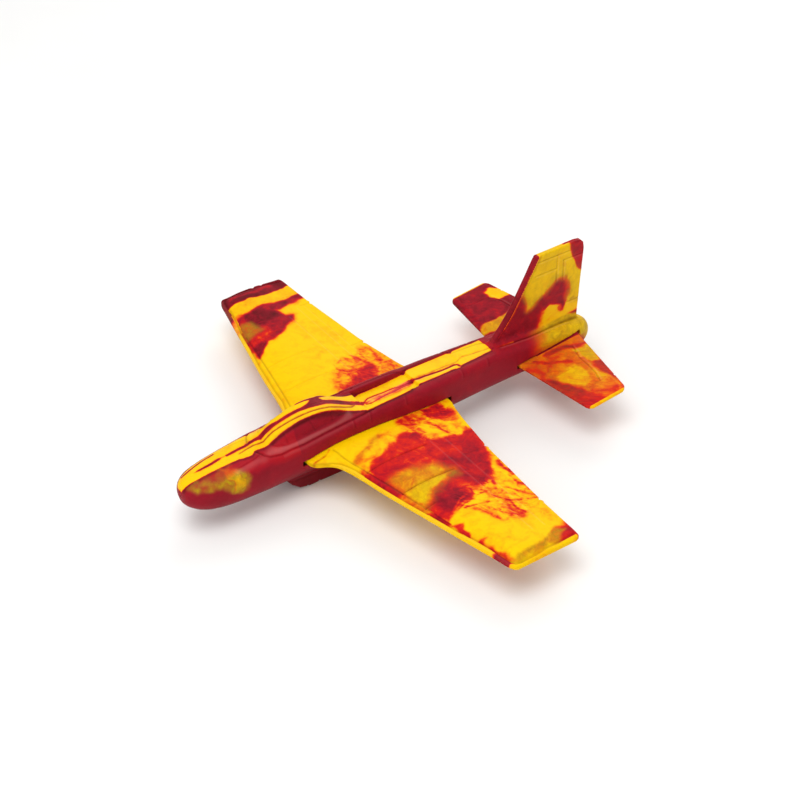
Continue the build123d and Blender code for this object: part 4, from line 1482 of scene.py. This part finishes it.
def foam(name, seed, grain, rough, specular, sheen):
    """Moulded marbled foam: guide broken up by noise, fine skin, scuffed edges."""
    m = Nodes(name)
    offset = (seed * 31.7, seed * 12.1, seed * 7.3)
    place = m.mapped(m.coords(), scale=PER_METRE, location=offset)
    broad = m.noise(place, scale=0.09, detail=4, rough=0.5, distortion=1.2)
    fine = m.noise(place, scale=0.21, detail=4, rough=0.5, distortion=1.3)
    wisp = m.noise(place, scale=1.1, detail=3, rough=0.5, distortion=0.8)
    broad_part = m.mul_add(broad, times=2.0, plus=-1.0)
    fine_part = m.mul_add(fine, times=1.2, plus=-0.6)
    wisp_part = m.mul_add(wisp, times=0.25, plus=-0.125)
    breakup = m.math("ADD", m.math("ADD", broad_part, fine_part), wisp_part)
    marbling = m.mul_add(breakup, m.attr("amp"), m.attr("guide"))
    # veins: thin folded seams of the darker layer, drawn out along a slant
    slanted = m.mapped(place, rotation=(0, 0, math.radians(-45)))
    slanted = m.mapped(slanted, scale=(1.0, 0.30, 1.0))

    def ridges(sharpness, **noise):
        centred = m.math("SUBTRACT", m.noise(slanted, rough=0.5, **noise), 0.5)
        slope = m.math("MULTIPLY", m.math("ABSOLUTE", centred), sharpness)
        return m.math("SUBTRACT", 1.0, slope, clamp=True)

    coarse_ridges = ridges(sharpness=19.0, scale=0.085, detail=3, distortion=1.8)
    fine_ridges = ridges(sharpness=15.0, scale=0.17, detail=2, distortion=1.2)
    veins = m.mul_add(fine_ridges, times=0.55, plus=coarse_ridges)
    marbling = m.mul_add(veins, m.attr("vein"), marbling)
    # the dark attribute adds painted shade on the walls inside the slots
    marbling = m.math("ADD", marbling, m.attr("dark"))
    # the ramp spans marbling tones -0.5 to 1.5
    position = m.mul_add(marbling, times=0.5, plus=0.25, clamp=True)
    colour = m.ramp(position, [((tone + 0.5) / 2.0, srgb(*rgb)) for tone, rgb in FOAM_COLOURS])
    # olive: red and yellow layers pressed together
    mottled = m.mul_add(fine, times=1.5, plus=-0.05, clamp=True)
    olive = m.math("MULTIPLY", m.attr("olive"), mottled, clamp=True)
    colour = m.mix(olive, colour, m.mix(wisp, srgb(196, 164, 14), srgb(150, 108, 16)))
    # dust of tone at millimetre scale, and pale closed-cell speckle
    dust = m.noise(place, scale=0.8, detail=6, rough=0.7)
    dust_colour = m.ramp(dust, [(0.25, (0.72, 0.72, 0.72, 1)), (0.75, (1.0, 1.0, 1.0, 1))])
    colour = m.mix(0.32, colour, dust_colour, "MULTIPLY")
    voronoi = m.add("ShaderNodeTexVoronoi", {"Scale": 1.9, "Vector": place})
    cell = voronoi.outputs["Distance"]
    speckle = m.math("MULTIPLY", m.math("LESS_THAN", cell, 0.09), 0.06)
    colour = m.mix(speckle, colour, srgb(255, 214, 150))
    # scuffed edges: skin rubbed a little paler
    scuffs = m.noise(place, scale=0.5, detail=5, rough=0.7)
    scuffs = m.mul_add(scuffs, times=3.2, plus=-1.55, clamp=True)
    wear = m.math("MULTIPLY", m.attr("wear"), scuffs, clamp=True)
    pale = m.mix(0.5, colour, srgb(252, 200, 110))
    colour = m.mix(m.math("MULTIPLY", wear, 0.16), colour, pale)
    # pressed lines hold shade; raised ribs catch light
    line = m.attr("line")
    shade = m.math("MULTIPLY", line, 0.72, clamp=True)
    light = m.math("MULTIPLY", line, -0.5, clamp=True)
    colour = m.mix(shade, colour, m.mix(1.0, colour, (0.20, 0.10, 0.06, 1), "MULTIPLY"))
    colour = m.mix(light, colour, m.mix(1.0, colour, (0.30, 0.13, 0.12, 1), "SCREEN"))
    roughness = m.mul_add(dust, times=0.22, plus=rough - 0.11)
    roughness = m.mul_add(wear, times=0.18, plus=roughness, clamp=True)
    # skin: orange peel over tiny cells
    peel = m.noise(place, scale=0.9, detail=5, rough=0.6)
    height = m.mul_add(peel, times=0.55, plus=m.math("MULTIPLY", cell, 0.25 * grain))
    pores = m.noise(place, scale=5.0, detail=2, rough=0.5)
    height = m.mul_add(pores, times=0.12 * grain, plus=height)
    return m.finish(
        {
            "Base Color": colour,
            "Specular IOR Level": specular,
            "Roughness": roughness,
            "IOR": 1.46,
            "Sheen Weight": sheen,
            "Sheen Roughness": 0.5,
            "Sheen Tint": (1.0, 0.86, 0.8, 1.0),
            "Normal": m.bump(height, strength=0.55, distance=0.00022),
        }
    )


def steel(name):
    """Turned steel: lathe rings, dull oxide and a satin finish."""
    m = Nodes(name)
    coords = m.coords()
    rings = m.mapped(coords, scale=(6000, 300, 300))
    rings = m.noise(rings, scale=1.0, detail=4, rough=0.6)
    blots = m.noise(m.mapped(coords, scale=PER_METRE), scale=0.35, detail=5, rough=0.65)
    greys = [(0.3, srgb(128, 128, 130)), (0.6, srgb(176, 177, 180)), (0.8, srgb(150, 138, 122))]
    return m.finish(
        {
            "Base Color": m.ramp(blots, greys),
            "Metallic": 1.0,
            "Roughness": m.mul_add(rings, times=0.25, plus=0.26),
            "Normal": m.bump(rings, strength=0.4, distance=0.00005),
        }
    )


def floor_material():
    m = Nodes("studio_floor")
    clouds = m.noise(m.coords(), scale=6.0, detail=3, rough=0.5)
    colour = m.ramp(clouds, [(0.3, (0.90, 0.90, 0.89, 1)), (0.7, (0.93, 0.93, 0.925, 1))])
    return m.finish({"Base Color": colour, "Roughness": 0.9, "Specular IOR Level": 0.1})


# ------------------------------------------------------------------ pieces
def fit(part, material, rides, node):
    part.data.materials.append(material)
    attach(part, rides)
    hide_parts(node)


fuselage_foam = foam(
    "fuselage_marbled_foam", seed=1.0, grain=1.0, rough=0.47, specular=0.09, sheen=0.02
)
wing_foam, tail_foam = [
    foam(name, seed=seed, grain=0.8, rough=0.50, specular=0.055, sheen=0.004)
    for name, seed in (("wing_marbled_foam", 2.0), ("tail_marbled_foam", 3.0))
]

for half, node in zip(fuselage(), ("fuselage_left_half", "fuselage_right_half")):
    fit(half, fuselage_foam, "fuselage", node)

wing = plate(
    "wing_visual", wing_leading, wing_trailing, WING_HALF,
    top_count=145, bottom_count=49, step=0.74,
    height=wing_height, top_radius=0.95, bottom_radius=0.5,
    notch=wing_notch, paint=wing_paint, place=lambda verts: verts,
)
fit(wing, wing_foam, "wing", "wing")

tail = plate(
    "tailplane_visual", tail_leading, tail_trailing, TAIL_HALF,
    top_count=85, bottom_count=43, step=0.5,
    height=tail_height, top_radius=0.8, bottom_radius=0.5,
    notch=tail_notch, paint=tail_paint, place=tail_place,
)
fit(tail, tail_foam, "tailplane", "tailplane")

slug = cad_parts["nose_weight"]
slug_steel = steel("turned_steel")
if slug.data.materials:
    for slot in slug.material_slots:
        slot.material = slug_steel
else:
    slug.data.materials.append(slug_steel)

# ------------------------------------------------------------------- stage
FLOOR_HALF = 6.0  # metres
floor_mesh = bpy.data.meshes.new("floor")
floor_corners = [
    (x * FLOOR_HALF, y * FLOOR_HALF, 0) for x, y in ((-1, -1), (1, -1), (1, 1), (-1, 1))
]
floor_mesh.from_pydata(floor_corners, [], [(0, 1, 2, 3)])
floor = bpy.data.objects.new("floor", floor_mesh)
bpy.context.scene.collection.objects.link(floor)
floor.data.materials.append(floor_material())

world = bpy.data.worlds.new("studio")
bpy.context.scene.world = world
world.use_nodes = True
background = world.node_tree.nodes.get("Background")
background.inputs["Color"].default_value = (1.0, 0.995, 0.985, 1)
background.inputs["Strength"].default_value = 0.62

LIGHT_TARGET = Vector((0, 0, 0.03))
# name, place in metres, side of the square in metres, power in watts
LIGHTS = [
    ("key", (0.35, 0.25, 1.25), 0.9, 9.0),
    ("fill", (1.1, 0.9, 0.5), 0.8, 3.0),
    ("back", (-0.9, -0.7, 0.9), 0.9, 5.0),
]
for name, location, size, power in LIGHTS:
    light = bpy.data.lights.new(name, "AREA")
    light.shape = "SQUARE"
    light.size = size
    light.energy = power
    lamp = bpy.data.objects.new(name, light)
    bpy.context.scene.collection.objects.link(lamp)
    lamp.location = location
    lamp.rotation_mode = "QUATERNION"
    lamp.rotation_quaternion = (LIGHT_TARGET - Vector(location)).to_track_quat("-Z", "Y")

# ------------------------------------------------------------------ camera
# the camera's own axes, and its place in mm from the datum
CAMERA_RIGHT = Vector((-0.8191549063316791, 0.5735720357652134, -0.0005993503870319678))
CAMERA_UP = Vector((-0.3481843690049684, -0.49643344012416163, 0.7951864465061651))
CAMERA_BACK = Vector((0.4557991713609733, 0.6515895635403003, 0.606364705496627))
CAMERA_PLACE = (455.536, 682.308, 638.503)
camera_data = bpy.data.cameras.new("view")
camera_data.sensor_width = 36.0
camera_data.lens = 81.7893
camera_data.clip_start, camera_data.clip_end = 0.02, 50
camera = bpy.data.objects.new("view", camera_data)
bpy.context.scene.collection.objects.link(camera)
pose = Matrix((CAMERA_RIGHT, CAMERA_UP, CAMERA_BACK)).transposed().to_4x4()
pose.translation = Vector((DATUM + CAMERA_PLACE) / 1000)
camera.matrix_world = pose
bpy.context.scene.camera = camera
bpy.context.scene.view_settings.view_transform = "Standard"
bpy.context.scene.view_settings.look = "None"
